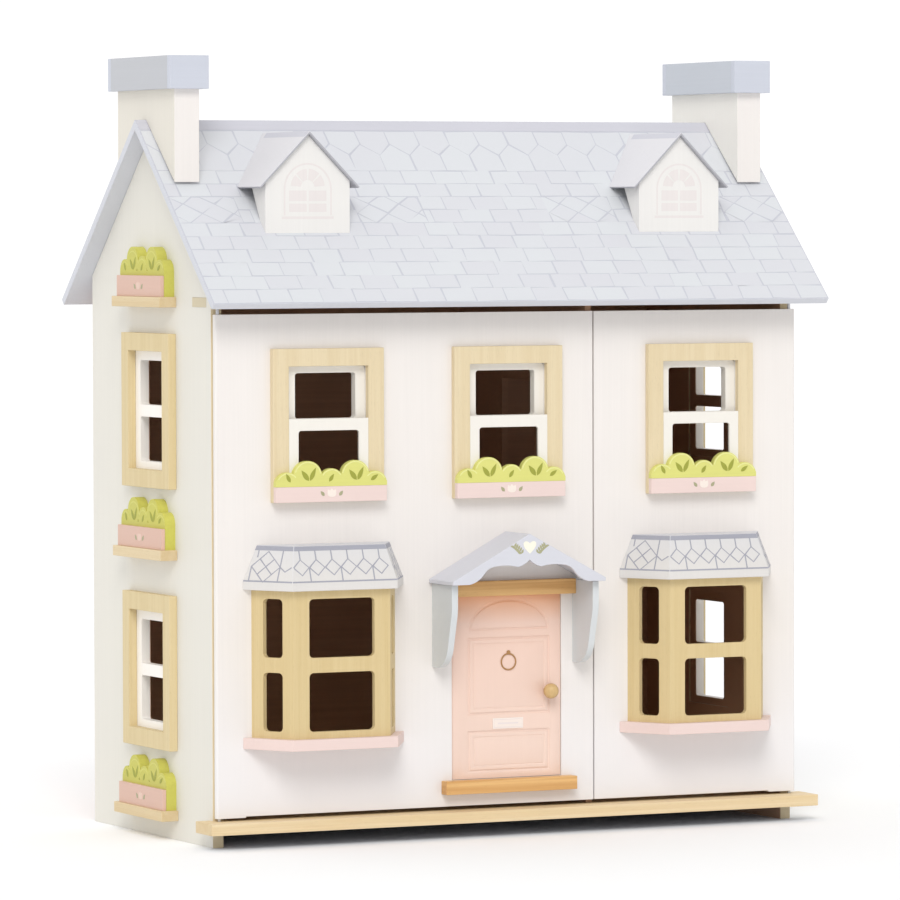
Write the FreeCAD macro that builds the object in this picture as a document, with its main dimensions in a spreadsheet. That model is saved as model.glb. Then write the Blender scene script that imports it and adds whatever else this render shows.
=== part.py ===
import FreeCAD, Part
import Sketcher
import math
import os

# Wooden dollhouse, millimetres.  +Z is up, the front faces -Y, the origin is the
# centre of the bounding box at ground level.  Depth is counted from the front
# face of the front panels, which stands at dims.face.

os.makedirs("parts", exist_ok=True)
doc = FreeCAD.newDocument("dollhouse")
sheet = doc.addObject("Spreadsheet::Sheet", "dims")
V = FreeCAD.Vector


class Size:
    """A length that knows both its value and its spreadsheet expression."""

    def __init__(self, text, value):
        self.text = text
        self.value = value

    def join(self, sign, other, flip=False):
        other = size(other)
        a, b = (other, self) if flip else (self, other)
        value = {"+": a.value + b.value, "-": a.value - b.value, "*": a.value * b.value,
                 "/": a.value / b.value if b.value else 0.0}[sign]
        return Size("(%s %s %s)" % (a.text, sign, b.text), value)

    def __add__(self, other):
        return self.join("+", other)

    def __radd__(self, other):
        return self.join("+", other, True)

    def __sub__(self, other):
        return self.join("-", other)

    def __rsub__(self, other):
        return self.join("-", other, True)

    def __mul__(self, other):
        return self.join("*", other)

    def __rmul__(self, other):
        return self.join("*", other, True)

    def __truediv__(self, other):
        return self.join("/", other)

    def __neg__(self):
        return Size("(-1 * %s)" % self.text, -self.value)


def size(value):
    if isinstance(value, Size):
        return value
    return Size("%.6g" % value if value >= 0 else "(%.6g)" % value, float(value))


def root(value):
    value = size(value)
    return Size("sqrt(%s)" % value.text, math.sqrt(value.value))


TABLE = [
    ("over", 1, "how far a cutter or a joined block runs past its neighbour"),
    # overall frame of the house
    ("face", -129.3, "front face of the front panels"),
    ("half_width", 282, "outer face of a side wall"),
    ("wall", 10, "side wall thickness"),
    ("wall_front", 9, "front edge of the side walls"),
    ("wall_back", 273.5, "back edge of the side walls"),
    ("floor_back", 265, "back edge of the floors"),
    ("back_board", 6, "back panel thickness"),
    ("base_low", 13.5, "underside of the ground floor"),
    ("base_top", 23.4, "top of the ground floor"),
    ("base_front", -19, "front edge of the ground floor"),
    ("base_half", 295, "half length of the ground floor strip"),
    ("ear_back", 16, "back edge of the ground floor ears"),
    ("first_low", 236, "underside of the first floor"),
    ("first_top", 244, "top of the first floor"),
    ("attic_low", 463, "underside of the attic floor"),
    ("attic_top", 471.3, "top of the attic floor"),
    ("tenon_front", 18.8, "front end of the attic floor tenon"),
    ("tenon_back", 48.9, "back end of the attic floor tenon"),
    # front panels
    ("panel", 8, "front panel thickness"),
    ("panel_low", 27, "front panel lower edge"),
    ("panel_heel", 25.9, "front panel lower edge at the pivot"),
    ("heel_length", 27, "length of the lower strip at the pivot"),
    ("panel_top", 456.9, "front panel upper edge"),
    ("seam", 79.8, "seam between the front panels"),
    ("seam_gap", 1.4, "gap at the seam"),
    ("pivot_inset", 4, "pivot distance from the outer edge"),
    ("pin_radius", 1.5, "panel pivot pin radius"),
    ("bore_radius", 1.56, "panel pivot bore radius"),
    ("pin_start", 2, "lower pin start above the underside of the ground floor"),
    ("pin_low_long", 30, "lower panel pin length"),
    ("pin_end", 1, "upper pin end below the top of the attic floor"),
    ("pin_high_long", 28, "upper panel pin length"),
    ("bore_play", 2, "depth of a panel bore past its pin"),
    ("front_round", 1.8, "rounding of the front outer corner"),
    ("back_round", 4, "rounding of the back outer corner"),
    # windows in the front panels
    ("window_one", -178.3, "centre of the first window"),
    ("window_two", -5.8, "centre of the second window"),
    ("window_three", 184, "centre of the third window"),
    ("frame_width", 105, "window frame width"),
    ("frame_deep", 6, "front window frame thickness"),
    ("frame_low", 295.3, "front window frame underside"),
    ("frame_top", 427.3, "front window frame top"),
    ("light_width", 75, "clear width of a window frame"),
    ("light_low", 310.5, "clear opening underside"),
    ("light_top", 412, "clear opening top"),
    ("sash_set", 1.3, "front of the upper sash behind the panel face"),
    ("sash_deep", 8.5, "sash thickness"),
    ("sash_round", 3, "corner radius of the upper sash"),
    ("plate_deep", 2.7, "lower light thickness"),
    ("rail_top", 367, "top of the lower light"),
    ("sash_stile", 2, "upper sash edge beside the lower light"),
    ("sash_rail", 6, "upper sash rail behind the lower light"),
    ("pane_high_margin", 5.9, "upper sash rail above its pane"),
    ("pane_low_from", 317.4, "lower pane underside"),
    ("pane_low_to", 356.7, "lower pane top"),
    ("pane_width", 57, "front window pane width"),
    ("pane_round", 2.5, "pane corner radius"),
    # planters in front of the windows
    ("planter_deep", 5.5, "planter thickness"),
    ("planter_low", 295.5, "planter underside"),
    ("planter_top", 309, "planter box top"),
    # side windows
    ("middle_left", 137, "centre of the left side windows and planters"),
    ("middle_right", 145, "centre of the right side windows and planters"),
    ("side_frame_deep", 7.5, "side window frame thickness"),
    ("side_frame_high", 134.8, "side window frame height"),
    ("side_light_high", 103.5, "clear height of a side window"),
    ("side_upper_low", 304.5, "upper side frame underside"),
    ("side_lower_low", 77.4, "lower side frame underside"),
    ("side_pane_width", 54, "side window pane width"),
    ("side_pane_high", 39, "side window pane height"),
    ("side_pane_low", 6.7, "lower side pane above the clear opening underside"),
    ("side_pane_pitch", 49.4, "height from one side pane to the next"),
    # shelves and boxes on the side walls
    ("shelf_long", 107, "planter shelf length"),
    ("shelf_deep", 16, "planter shelf depth"),
    ("shelf_high", 9, "planter shelf thickness"),
    ("shelf_attic", 471.2, "top of the attic planter shelf"),
    ("shelf_upper", 252, "top of the upper planter shelf"),
    ("shelf_lower", 25.8, "top of the lower planter shelf"),
    ("block_long", 98, "planter block length"),
    ("leaf_deep", 9.5, "foliage block thickness"),
    ("leaf_base", 4, "straight foot of a foliage board"),
    ("box_deep", 3.5, "pink box front thickness"),
    ("box_high", 18.3, "pink box front height"),
    # bay windows
    ("bay_centre", 181.3, "bay window centre"),
    ("bay_wall_half", 68, "bay half width at the panel"),
    ("bay_front_half", 45.5, "bay half width at its front"),
    ("bay_deep", 38, "bay depth"),
    ("bay_board", 5, "bay board thickness"),
    ("bay_low", 94.6, "bay underside"),
    ("bay_top", 221.5, "bay top"),
    ("bay_sill_low", 85, "bay sill underside"),
    ("bay_lip", 7, "sill and roof overhang"),
    ("bay_fascia_top", 228.2, "bay roof fascia top"),
    ("bay_roof_top", 259.5, "bay roof top"),
    ("bay_roof_set", -4.6, "bay roof top plan offset"),
    ("bay_pane_half", 30.7, "bay front pane half width"),
    ("bay_side_start", 12.3, "bay side pane distance from the panel"),
    ("bay_side_pane", 20.3, "bay side pane width"),
    ("bay_pane_high", 50.4, "bay pane height"),
    ("bay_pane_round", 4, "corner radius of a bay pane"),
    ("bay_row_one", 100.6, "lower bay pane row underside"),
    ("bay_row_two", 163.8, "upper bay pane row underside"),
    ("bay_opening_half", 56, "half width of the opening behind a bay"),
    ("bay_opening_low", 95.6, "underside of the opening behind a bay"),
    ("bay_opening_top", 214, "top of the opening behind a bay"),
    # front door
    ("door_left", -58.5, "hinge edge of the door"),
    ("door_right", 47.3, "free edge of the door"),
    ("door_low", 50, "door underside"),
    ("door_top", 209.3, "door top"),
    ("door_gap", 0.4, "gap around the door"),
    ("door_set", 1, "door front behind the panel face"),
    ("door_deep", 6, "door thickness"),
    ("door_pin", 0.8, "door pin radius"),
    ("door_bore", 0.85, "door bore radius"),
    ("door_pin_long", 18, "door pin length"),
    ("door_pin_low", 10, "lower door pin start below the door"),
    ("door_pin_high", 8, "upper door pin start below the door top"),
    ("knob_x", 34, "knob centre across"),
    ("knob_z", 124.8, "knob centre height"),
    ("knob_radius", 6.75, "knob radius"),
    ("knob_reach", 8.6, "knob centre in front of the door"),
    ("neck_radius", 3.2, "knob neck radius"),
    ("letter_left", -19.2, "letter plate left edge"),
    ("letter_right", 10.6, "letter plate right edge"),
    ("letter_low", 92.8, "letter plate underside"),
    ("letter_top", 102.3, "letter plate top"),
    ("letter_deep", 0.8, "letter plate thickness"),
    ("lintel_deep", 8, "lintel depth"),
    ("lintel_low", 209.7, "lintel underside"),
    ("lintel_top", 222.8, "lintel top"),
    ("step_low", 38, "door step underside"),
    ("step_top", 49.6, "door step top"),
    ("step_left", -69.2, "door step left end"),
    ("step_right", 58, "door step right end"),
    ("step_deep", 11, "door step depth"),
    # canopy
    ("canopy_centre", -6.6, "canopy centre"),
    ("canopy_half", 74, "canopy half width"),
    ("canopy_deep", 48, "canopy depth"),
    ("fascia", 4, "canopy fascia thickness"),
    ("canopy_end", 225.7, "canopy roof height at its ends"),
    ("canopy_apex", 265.5, "canopy apex"),
    ("canopy_low", 222.5, "canopy fascia end underside"),
    ("canopy_peak", 243, "fascia underside at its centre"),
    ("canopy_board", 3.5, "canopy roof thickness"),
    ("bracket", 6, "bracket thickness"),
    ("bracket_half", 71.2, "bracket outer face from the canopy centre"),
    ("bracket_low", 149, "bracket tip"),
    ("bracket_top", 222, "bracket top"),
    ("bracket_deep", 40, "bracket depth at its top"),
    ("bracket_toe", 6, "flat toe of a bracket"),
    # roof
    ("ridge_y", 136.4, "ridge behind the panel face"),
    ("ridge_z", 625, "ridge height"),
    ("eave_run", 170.2, "ridge to eave edge"),
    ("eave_z", 466.7, "eave upper edge height"),
    ("roof_board", 6.5, "roof board thickness"),
    ("roof_half", 298, "roof half length"),
    ("roof_gap", 0.3, "gap between the roof and the walls"),
    ("cleat", 10, "roof cleat width"),
    ("cleat_gap", 0.5, "gap between a cleat and the side wall"),
    ("cleat_high", 12, "roof cleat height"),
    ("cleat_foot", 30, "front end of the roof cleats"),
    # dormers
    ("dormer_centre", 181.2, "dormer centre"),
    ("dormer_half", 40, "dormer half width"),
    ("dormer_front", 29.8, "dormer front face"),
    ("dormer_apex", 614, "dormer ridge height"),
    ("dormer_eave_half", 47.5, "dormer roof half width"),
    ("dormer_eave", 566, "dormer eave height"),
    ("dormer_board", 1.8, "dormer roof board thickness"),
    ("dormer_lip", 4.5, "dormer roof overhang at the front"),
    ("dormer_foot", 12, "depth of the dormer foot on the roof"),
    ("dormer_root", 500, "underside of the dormer block before it is seated"),
    ("dormer_end", 2, "back end of the dormers in front of the ridge"),
    ("dormer_gap", 14, "gap behind the dormer cheek at its eave"),
    # chimneys
    ("stack_in", 264, "chimney inner face"),
    ("stack_out", 287.5, "chimney outer face"),
    ("stack_low", 560, "underside of the chimney block before it is seated"),
    ("stack_long", 126, "chimney length"),
    ("stack_top", 676.5, "chimney shaft top"),
    ("stack_gap", 0.4, "gap between the chimney and the ridge"),
    ("stack_foot_gap", 3.8, "gap between the chimney foot and the roof"),
    ("cap_low", 650.7, "chimney cap underside"),
    ("cap_top", 679.5, "chimney cap top"),
    ("cap_strip", 6.5, "chimney cap strip thickness"),
    # inner walls and stair
    ("partition", 6, "partition thickness"),
    ("doorway_front", 110, "doorway front edge"),
    ("doorway_back", 175, "doorway back edge"),
    ("doorway_high", 150, "doorway height"),
    ("stair_left", 90, "foot of the stair"),
    ("stair_right", 232, "head of the stair"),
    ("stair_wide", 54, "stair width"),
    ("stair_steps", 12, "number of risers"),
    ("stair_open", 3, "steps in front of the stairwell"),
    ("stair_solid", 2, "steps that stand on the floor"),
    ("stair_gap", 2, "gap between the stair and the edge of the stairwell"),
    ("stair_string", 12, "thickness of the stair below its steps"),
]
D = {}
for row, (alias, value, note) in enumerate(TABLE, start=1):
    sheet.set("A%d" % row, note)
    sheet.set("B%d" % row, "%g" % value)
    sheet.setAlias("B%d" % row, alias)
    D[alias] = Size("dims.%s" % alias, float(value))
doc.recompute()
over = D["over"]


def deep(value):
    """Distance behind the front face of the panels."""
    return D["face"] + value


def bind(item, name, value):
    item.setExpression(name, size(value).text)


def place(item, x, y, z):
    for axis, value in zip("xyz", (x, y, z)):
        bind(item, "Placement.Base.%s" % axis, value)


def box(name, x0, x1, y0, y1, z0, z1):
    item = doc.addObject("Part::Box", name)
    for key, lo, hi in (("Length", x0, x1), ("Width", y0, y1), ("Height", z0, z1)):
        bind(item, key, size(hi) - lo)
    place(item, x0, y0, z0)
    return item


TURN = {"x": (V(0, 1, 0), 90), "y": (V(1, 0, 0), -90), "z": (V(0, 0, 1), 0)}


def rod(name, axis, radius, x, y, z, length):
    """Cylinder that starts at a point and runs along + axis."""
    item = doc.addObject("Part::Cylinder", name)
    item.Placement = FreeCAD.Placement(V(0, 0, 0), FreeCAD.Rotation(*TURN[axis]))
    bind(item, "Radius", radius)
    bind(item, "Height", length)
    place(item, x, y, z)
    return item


def fuse(name, items):
    item = doc.addObject("Part::MultiFuse", name)
    item.Shapes = items
    item.Refine = True
    return item


def gather(name, items):
    item = doc.addObject("Part::Compound", name)
    item.Links = items
    return item


def cut(name, base, tools):
    tool = tools[0]
    if len(tools) > 1:
        tool = fuse(name + "_tools", tools)
    item = doc.addObject("Part::Cut", name)
    item.Base = base
    item.Tool = tool
    return item


def common(name, base, tool):
    item = doc.addObject("Part::Common", name)
    item.Base = base
    item.Tool = tool
    return item


ROLE = {"x": "YZ_Plane", "y": "XZ_Plane", "z": "XY_Plane"}


def outline(body, name, axis, offset, points):
    """Closed sketch.  A point is (u, v); (u, v, "arc") is the middle of an arc."""
    plane = [item for item in body.Origin.OriginFeatures if item.Role == ROLE[axis]][0]
    sketch = body.newObject("Sketcher::SketchObject", name)
    sketch.AttachmentSupport = [(plane, "")]
    sketch.MapMode = "FlatFace"
    bind(sketch, "AttachmentOffset.Base.z", offset)
    corners = [index for index, point in enumerate(points) if len(point) == 2]
    ends = []
    for order, index in enumerate(corners):
        after = corners[(order + 1) % len(corners)]
        middle = points[(index + 1) % len(points)]
        a = V(size(points[index][0]).value, size(points[index][1]).value, 0)
        b = V(size(points[after][0]).value, size(points[after][1]).value, 0)
        if len(middle) == 3:
            m = V(size(middle[0]).value, size(middle[1]).value, 0)
            curve = Part.Arc(a, m, b)
            arc = sketch.addGeometry(curve, False)
            start = sketch.getPoint(arc, 1)
            ends.append((arc, 1, 2) if start.distanceToPoint(a) < 1e-6 else (arc, 2, 1))
        else:
            ends.append((sketch.addGeometry(Part.LineSegment(a, b), False), 1, 2))
    for order, (curve, start, end) in enumerate(ends):
        other, begin, finish = ends[(order + 1) % len(ends)]
        sketch.addConstraint(Sketcher.Constraint("Coincident", curve, end, other, begin))
    for order, index in enumerate(corners):
        curve, start, end = ends[order]
        for kind, value in zip(("DistanceX", "DistanceY"), points[index][:2]):
            value = size(value)
            rule = sketch.addConstraint(
                Sketcher.Constraint(kind, -1, 1, curve, start, value.value))
            if "dims." in value.text:
                sketch.setExpression("Constraints[%d]" % rule, value.text)
    return sketch


def prism(name, axis, points, lo, hi):
    """Flat outline carried from lo to hi along an axis."""
    body = doc.addObject("PartDesign::Body", name)
    offset = -size(hi) if axis == "y" else size(lo)
    sketch = outline(body, name + "_outline", axis, offset, points)
    pad = body.newObject("PartDesign::Pad", name + "_pad")
    pad.Profile = sketch
    bind(pad, "Length", size(hi) - lo)
    return body


def loft(name, low, low_z, high, high_z):
    body = doc.addObject("PartDesign::Body", name)
    first = outline(body, name + "_low", "z", low_z, low)
    second = outline(body, name + "_high", "z", high_z, high)
    item = body.newObject("PartDesign::AdditiveLoft", name + "_loft")
    item.Profile = first
    item.Sections = [second]
    item.Ruled = True
    return body


def fillet(name, base, rules):
    """Round the straight edges picked by rules: (test of the edge centre, radius)."""
    doc.recompute()
    item = doc.addObject("Part::Fillet", name)
    item.Base = base
    picked = []
    for index, edge in enumerate(base.Shape.Edges, start=1):
        for test, radius in rules:
            if test(edge):
                picked.append((index, radius.value, radius.value))
    item.Edges = picked
    return item


def along(edge, axis):
    direction = edge.tangentAt(edge.FirstParameter)
    return abs(abs(direction.dot(axis)) - 1) < 1e-6


def pane(name, axis, x0, x1, y0, y1, z0, z1, corner=D["pane_round"]):
    """Cutter of a pane with rounded corners, cut along an axis."""
    base = box(name + "_blank", x0, x1, y0, y1, z0, z1)
    way = {"x": V(1, 0, 0), "y": V(0, 1, 0)}[axis]
    return fillet(name, base, [(lambda edge: along(edge, way), corner)])


NODES = []


def node(name, item):
    item.Label = name
    NODES.append(item)
    return item


half = D["half_width"]
inner = half - D["wall"]
slope = (D["ridge_z"] - D["eave_z"]) / D["eave_run"]
stretch = root(slope * slope + 1)
ridge_y = deep(D["ridge_y"])
drop = D["roof_board"] * stretch


def roof_z(y):
    """Height of the front roof surface above a depth y."""
    return D["ridge_z"] - slope * (ridge_y - y)


def roof_back_z(y):
    return D["ridge_z"] - slope * (y - ridge_y)


# ---- house body -------------------------------------------------------------
front_y = deep(D["wall_front"])
back_y = deep(D["wall_back"])
floor_y = deep(D["floor_back"])
under = drop + D["roof_gap"]
gable = [(front_y, 0), (back_y, 0), (back_y, roof_back_z(back_y) - under),
         (ridge_y, D["ridge_z"] - under), (front_y, roof_z(front_y) - under)]
light = D["light_width"] / 2
margin = (D["side_frame_high"] - D["side_light_high"]) / 2
SIDES = (("left", -1), ("right", 1))
# foliage lobes: distance from the centre, radius, top above the planter box
SIDE_LOBES = ((-21.5, 12.5, 25), (21.5, 12.5, 25), (0, 10.5, 17), (-38.5, 10.5, 14),
              (38.5, 10.5, 14))
FRONT_LOBES = ((-22.5, 13.5, 22), (22.5, 13.5, 22), (0, 11, 15.3), (-41.3, 11.2, 12.5),
               (41.3, 11.2, 12.5))


def span(sign, a, b):
    """Order a pair of distances from the middle plane on either side."""
    return (size(a), size(b)) if sign > 0 else (-size(b), -size(a))


for side, sign in SIDES:
    x0, x1 = span(sign, inner, half)
    blank = prism("wall_blank_%s" % side, "x", gable, x0, x1)
    holes = [box("tenon_slot_%s" % side, x0 - over, x1 + over, deep(D["tenon_front"]),
                 deep(D["tenon_back"]), D["attic_low"], D["attic_top"])]
    middle = deep(D["middle_" + side])
    for level in ("upper", "lower"):
        low = D["side_%s_low" % level] + margin
        holes.append(box("wall_light_%s_%s" % (level, side), x0 - over, x1 + over,
                         middle - light, middle + light, low, low + D["side_light_high"]))
    node("side_wall_%s" % side, cut("side_wall_%s" % side, blank, holes))

strip = box("base_strip", -D["base_half"], D["base_half"], deep(D["base_front"]), front_y,
            D["base_low"], D["base_top"])
deck = box("base_deck", -inner, inner, front_y - over, floor_y, D["base_low"], D["base_top"])
ears = []
for side, sign in SIDES:
    x0, x1 = span(sign, half, D["base_half"])
    ears.append(box("base_ear_%s" % side, x0, x1, front_y - over, deep(D["ear_back"]),
                    D["base_low"], D["base_top"]))
base_blank = fuse("base_blank", [strip, deck] + ears)
pivot_x = half - D["pivot_inset"]
pivot_y = deep(D["panel"] / 2)
pins = []
floor_holes = {"low": [], "high": []}
for side, sign in SIDES:
    x = pivot_x if sign > 0 else -pivot_x
    high = D["attic_top"] - D["pin_end"] - D["pin_high_long"]
    for level, z, length in (("low", D["base_low"] + D["pin_start"], D["pin_low_long"]),
                             ("high", high, D["pin_high_long"])):
        pins.append(rod("pin_%s_%s" % (level, side), "z", D["pin_radius"], x, pivot_y, z, length))
        floor_holes[level].append(rod("pin_hole_%s_%s" % (level, side), "z", D["pin_radius"],
                                      x, pivot_y, z, length))
node("base_floor", cut("base_floor", base_blank, floor_holes["low"]))

attic_parts = [
    box("attic_strip", -half, half, deep(0), front_y, D["attic_low"], D["attic_top"]),
    box("attic_deck", -inner, inner, front_y - over, floor_y, D["attic_low"], D["attic_top"]),
    box("attic_tenon", -half, half, deep(D["tenon_front"]), deep(D["tenon_back"]),
        D["attic_low"], D["attic_top"])]
node("attic_floor", cut("attic_floor", fuse("attic_blank", attic_parts), floor_holes["high"]))
node("panel_hinge_pins", gather("panel_hinge_pins", pins))

inside_y = front_y + over
stair_run = (D["stair_right"] - D["stair_left"]) / D["stair_steps"]
stair_rise = (D["first_top"] - D["base_top"]) / D["stair_steps"]
stair_front = floor_y - D["stair_wide"]
well = box("stair_well", D["stair_left"] + stair_run * D["stair_open"], D["stair_right"],
           stair_front - D["stair_gap"], floor_y + over, D["first_low"] - over,
           D["first_top"] + over)
node("first_floor", cut("first_floor", box("first_blank", -inner, inner, inside_y, floor_y,
                                           D["first_low"], D["first_top"]), [well]))
node("back_panel", box("back_panel", -inner, inner, floor_y, floor_y + D["back_board"],
                       D["base_low"], D["attic_top"]))

for name, low, high in (("ground_partition", D["base_top"], D["first_low"]),
                        ("upper_partition", D["first_top"], D["attic_low"])):
    x0 = D["seam"] - D["partition"] / 2
    wall = box(name + "_blank", x0, x0 + D["partition"], inside_y, floor_y, low, high)
    door = box(name + "_doorway", x0 - over, x0 + D["partition"] + over,
               deep(D["doorway_front"]), deep(D["doorway_back"]), low - over,
               low + D["doorway_high"])
    node(name, cut(name, wall, [door]))

steps = [(D["stair_left"], D["base_top"])]
treads = int(D["stair_steps"].value) - 1
for index in range(treads):
    x = D["stair_left"] + stair_run * index
    z = D["base_top"] + stair_rise * (index + 1)
    steps.append((x, z))
    steps.append((x + stair_run, z))
steps.append((D["stair_left"] + stair_run * treads,
              D["base_top"] + stair_rise * (treads - 1) - D["stair_string"]))
steps.append((D["stair_left"] + stair_run * D["stair_solid"], D["base_top"]))
node("staircase", prism("staircase", "y", steps, stair_front, floor_y))

for side, sign in SIDES:
    out0, out1 = span(sign, half, half + D["side_frame_deep"])
    sash0, sash1 = span(sign, half - D["sash_deep"], half)
    middle = deep(D["middle_" + side])
    frames = []
    sashes = []
    for level in ("upper", "lower"):
        tag = "%s_%s" % (level, side)
        low = D["side_%s_low" % level]
        clear = low + margin
        ring = box("side_ring_" + tag, out0, out1, middle - D["frame_width"] / 2,
                   middle + D["frame_width"] / 2, low, low + D["side_frame_high"])
        hole = box("side_clear_" + tag, out0 - over, out1 + over, middle - light, middle + light,
                   clear, clear + D["side_light_high"])
        frames.append(cut("side_frame_" + tag, ring, [hole]))
        plate = box("side_plate_" + tag, sash0, sash1, middle - light, middle + light,
                    clear, clear + D["side_light_high"])
        panes = []
        for row, up in (("high", D["side_pane_low"] + D["side_pane_pitch"]),
                        ("low", D["side_pane_low"])):
            panes.append(pane("side_pane_%s_%s" % (row, tag), "x", sash0 - over, sash1 + over,
                              middle - D["side_pane_width"] / 2,
                              middle + D["side_pane_width"] / 2,
                              clear + up, clear + up + D["side_pane_high"]))
        sashes.append(cut("side_sash_" + tag, plate, panes))
    node("%s_window_frames" % side, gather("%s_window_frames" % side, frames))
    node("%s_window_sashes" % side, gather("%s_window_sashes" % side, sashes))

    shelves = []
    boxes = []
    leaves = []
    shelf0, shelf1 = span(sign, half, half + D["shelf_deep"])
    leaf0, leaf1 = span(sign, half, half + D["leaf_deep"])
    box0, box1 = span(sign, half + D["leaf_deep"], half + D["leaf_deep"] + D["box_deep"])
    for level in ("attic", "upper", "lower"):
        tag = "%s_%s" % (level, side)
        low = D["shelf_" + level]
        shelves.append(box("shelf_" + tag, shelf0, shelf1, middle - D["shelf_long"] / 2,
                           middle + D["shelf_long"] / 2, low - D["shelf_high"], low))
        boxes.append(box("box_front_" + tag, box0, box1, middle - D["block_long"] / 2,
                         middle + D["block_long"] / 2, low, low + D["box_high"]))
        lobes = [box("leaf_block_" + tag, leaf0, leaf1, middle - D["block_long"] / 2,
                     middle + D["block_long"] / 2, low, low + D["box_high"] + D["leaf_base"])]
        crown = low + D["box_high"]
        for index, (offset, radius, height) in enumerate(SIDE_LOBES):
            lobes.append(rod("lobe_%d_%s" % (index, tag), "x", radius, leaf0, middle + offset,
                             crown + height - radius, D["leaf_deep"]))
        leaves.append(fuse("leaves_" + tag, lobes))
    node("%s_planter_shelves" % side, gather("%s_planter_shelves" % side, shelves))
    node("%s_planter_boxes" % side, gather("%s_planter_boxes" % side, boxes))
    node("%s_planter_foliage" % side, gather("%s_planter_foliage" % side, leaves))


# ---- front panels -----------------------------------------------------------
cut_front = deep(-over)
cut_back = deep(D["panel"] + over)


def bay_x(offset, y):
    """Half width of the bay plan moved out by offset, at depth y from the panel."""
    taper = D["bay_wall_half"] - D["bay_front_half"]
    lean = root(taper * taper + D["bay_deep"] * D["bay_deep"])
    return D["bay_wall_half"] + (lean * offset - taper * y) / D["bay_deep"]


def bay_plan(centre, offset, back=0):
    """Plan outline of the bay moved out by offset, from its front to the panel."""
    reach = D["bay_deep"] + offset
    wide = bay_x(offset, back)
    narrow = bay_x(offset, reach)
    return [(centre - wide, deep(-back)), (centre - narrow, deep(-reach)),
            (centre + narrow, deep(-reach)), (centre + wide, deep(-back))]


def bay_window(side, centre):
    board = D["bay_board"]
    shell = prism("bay_shell_" + side, "z", bay_plan(centre, 0), D["bay_low"], D["bay_top"])
    cuts = [prism("bay_room_" + side, "z", bay_plan(centre, -board, -over), D["bay_low"] - over,
                  D["bay_top"] + over)]
    taper = D["bay_wall_half"] - D["bay_front_half"]
    lean = root(taper * taper + D["bay_deep"] * D["bay_deep"])
    for row in ("one", "two"):
        low = D["bay_row_" + row]
        high = low + D["bay_pane_high"]
        cuts.append(pane("bay_pane_%s_%s" % (row, side), "y", centre - D["bay_pane_half"],
                         centre + D["bay_pane_half"], deep(-D["bay_deep"] - over),
                         deep(board - D["bay_deep"] + over), low, high, D["bay_pane_round"]))
        for sign in (-1, 1):
            corner = []
            for reach, out in ((0, over), (1, over), (1, -board - over), (0, -board - over)):
                run = D["bay_side_start"] + D["bay_side_pane"] * reach
                x = D["bay_wall_half"] - taper * run / lean + D["bay_deep"] * out / lean
                y = D["bay_deep"] * run / lean + taper * out / lean
                corner.append((centre + x * sign, deep(-y)))
            name = "bay_side_%s_%s_%s" % (row, side, "a" if sign < 0 else "b")
            blank = prism(name + "_blank", "z", corner, low, high)
            way = V(D["bay_deep"].value * sign, -taper.value, 0) / lean.value
            cuts.append(fillet(name, blank,
                               [(lambda edge: along(edge, way), D["bay_pane_round"])]))
    node("bay_window_" + side, cut("bay_window_" + side, shell, cuts))
    node("bay_sill_" + side, prism("bay_sill_" + side, "z", bay_plan(centre, D["bay_lip"]),
                                   D["bay_sill_low"], D["bay_low"]))
    rim = prism("bay_rim_" + side, "z", bay_plan(centre, D["bay_lip"]), D["bay_top"],
                D["bay_fascia_top"])
    hood = loft("bay_hood_" + side, bay_plan(centre, D["bay_lip"]), D["bay_fascia_top"],
                bay_plan(centre, D["bay_roof_set"]), D["bay_roof_top"])
    node("bay_roof_" + side, fuse("bay_roof_" + side, [rim, hood]))
    return box("bay_opening_" + side, centre - D["bay_opening_half"],
               centre + D["bay_opening_half"], cut_front, cut_back, D["bay_opening_low"],
               D["bay_opening_top"])


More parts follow.
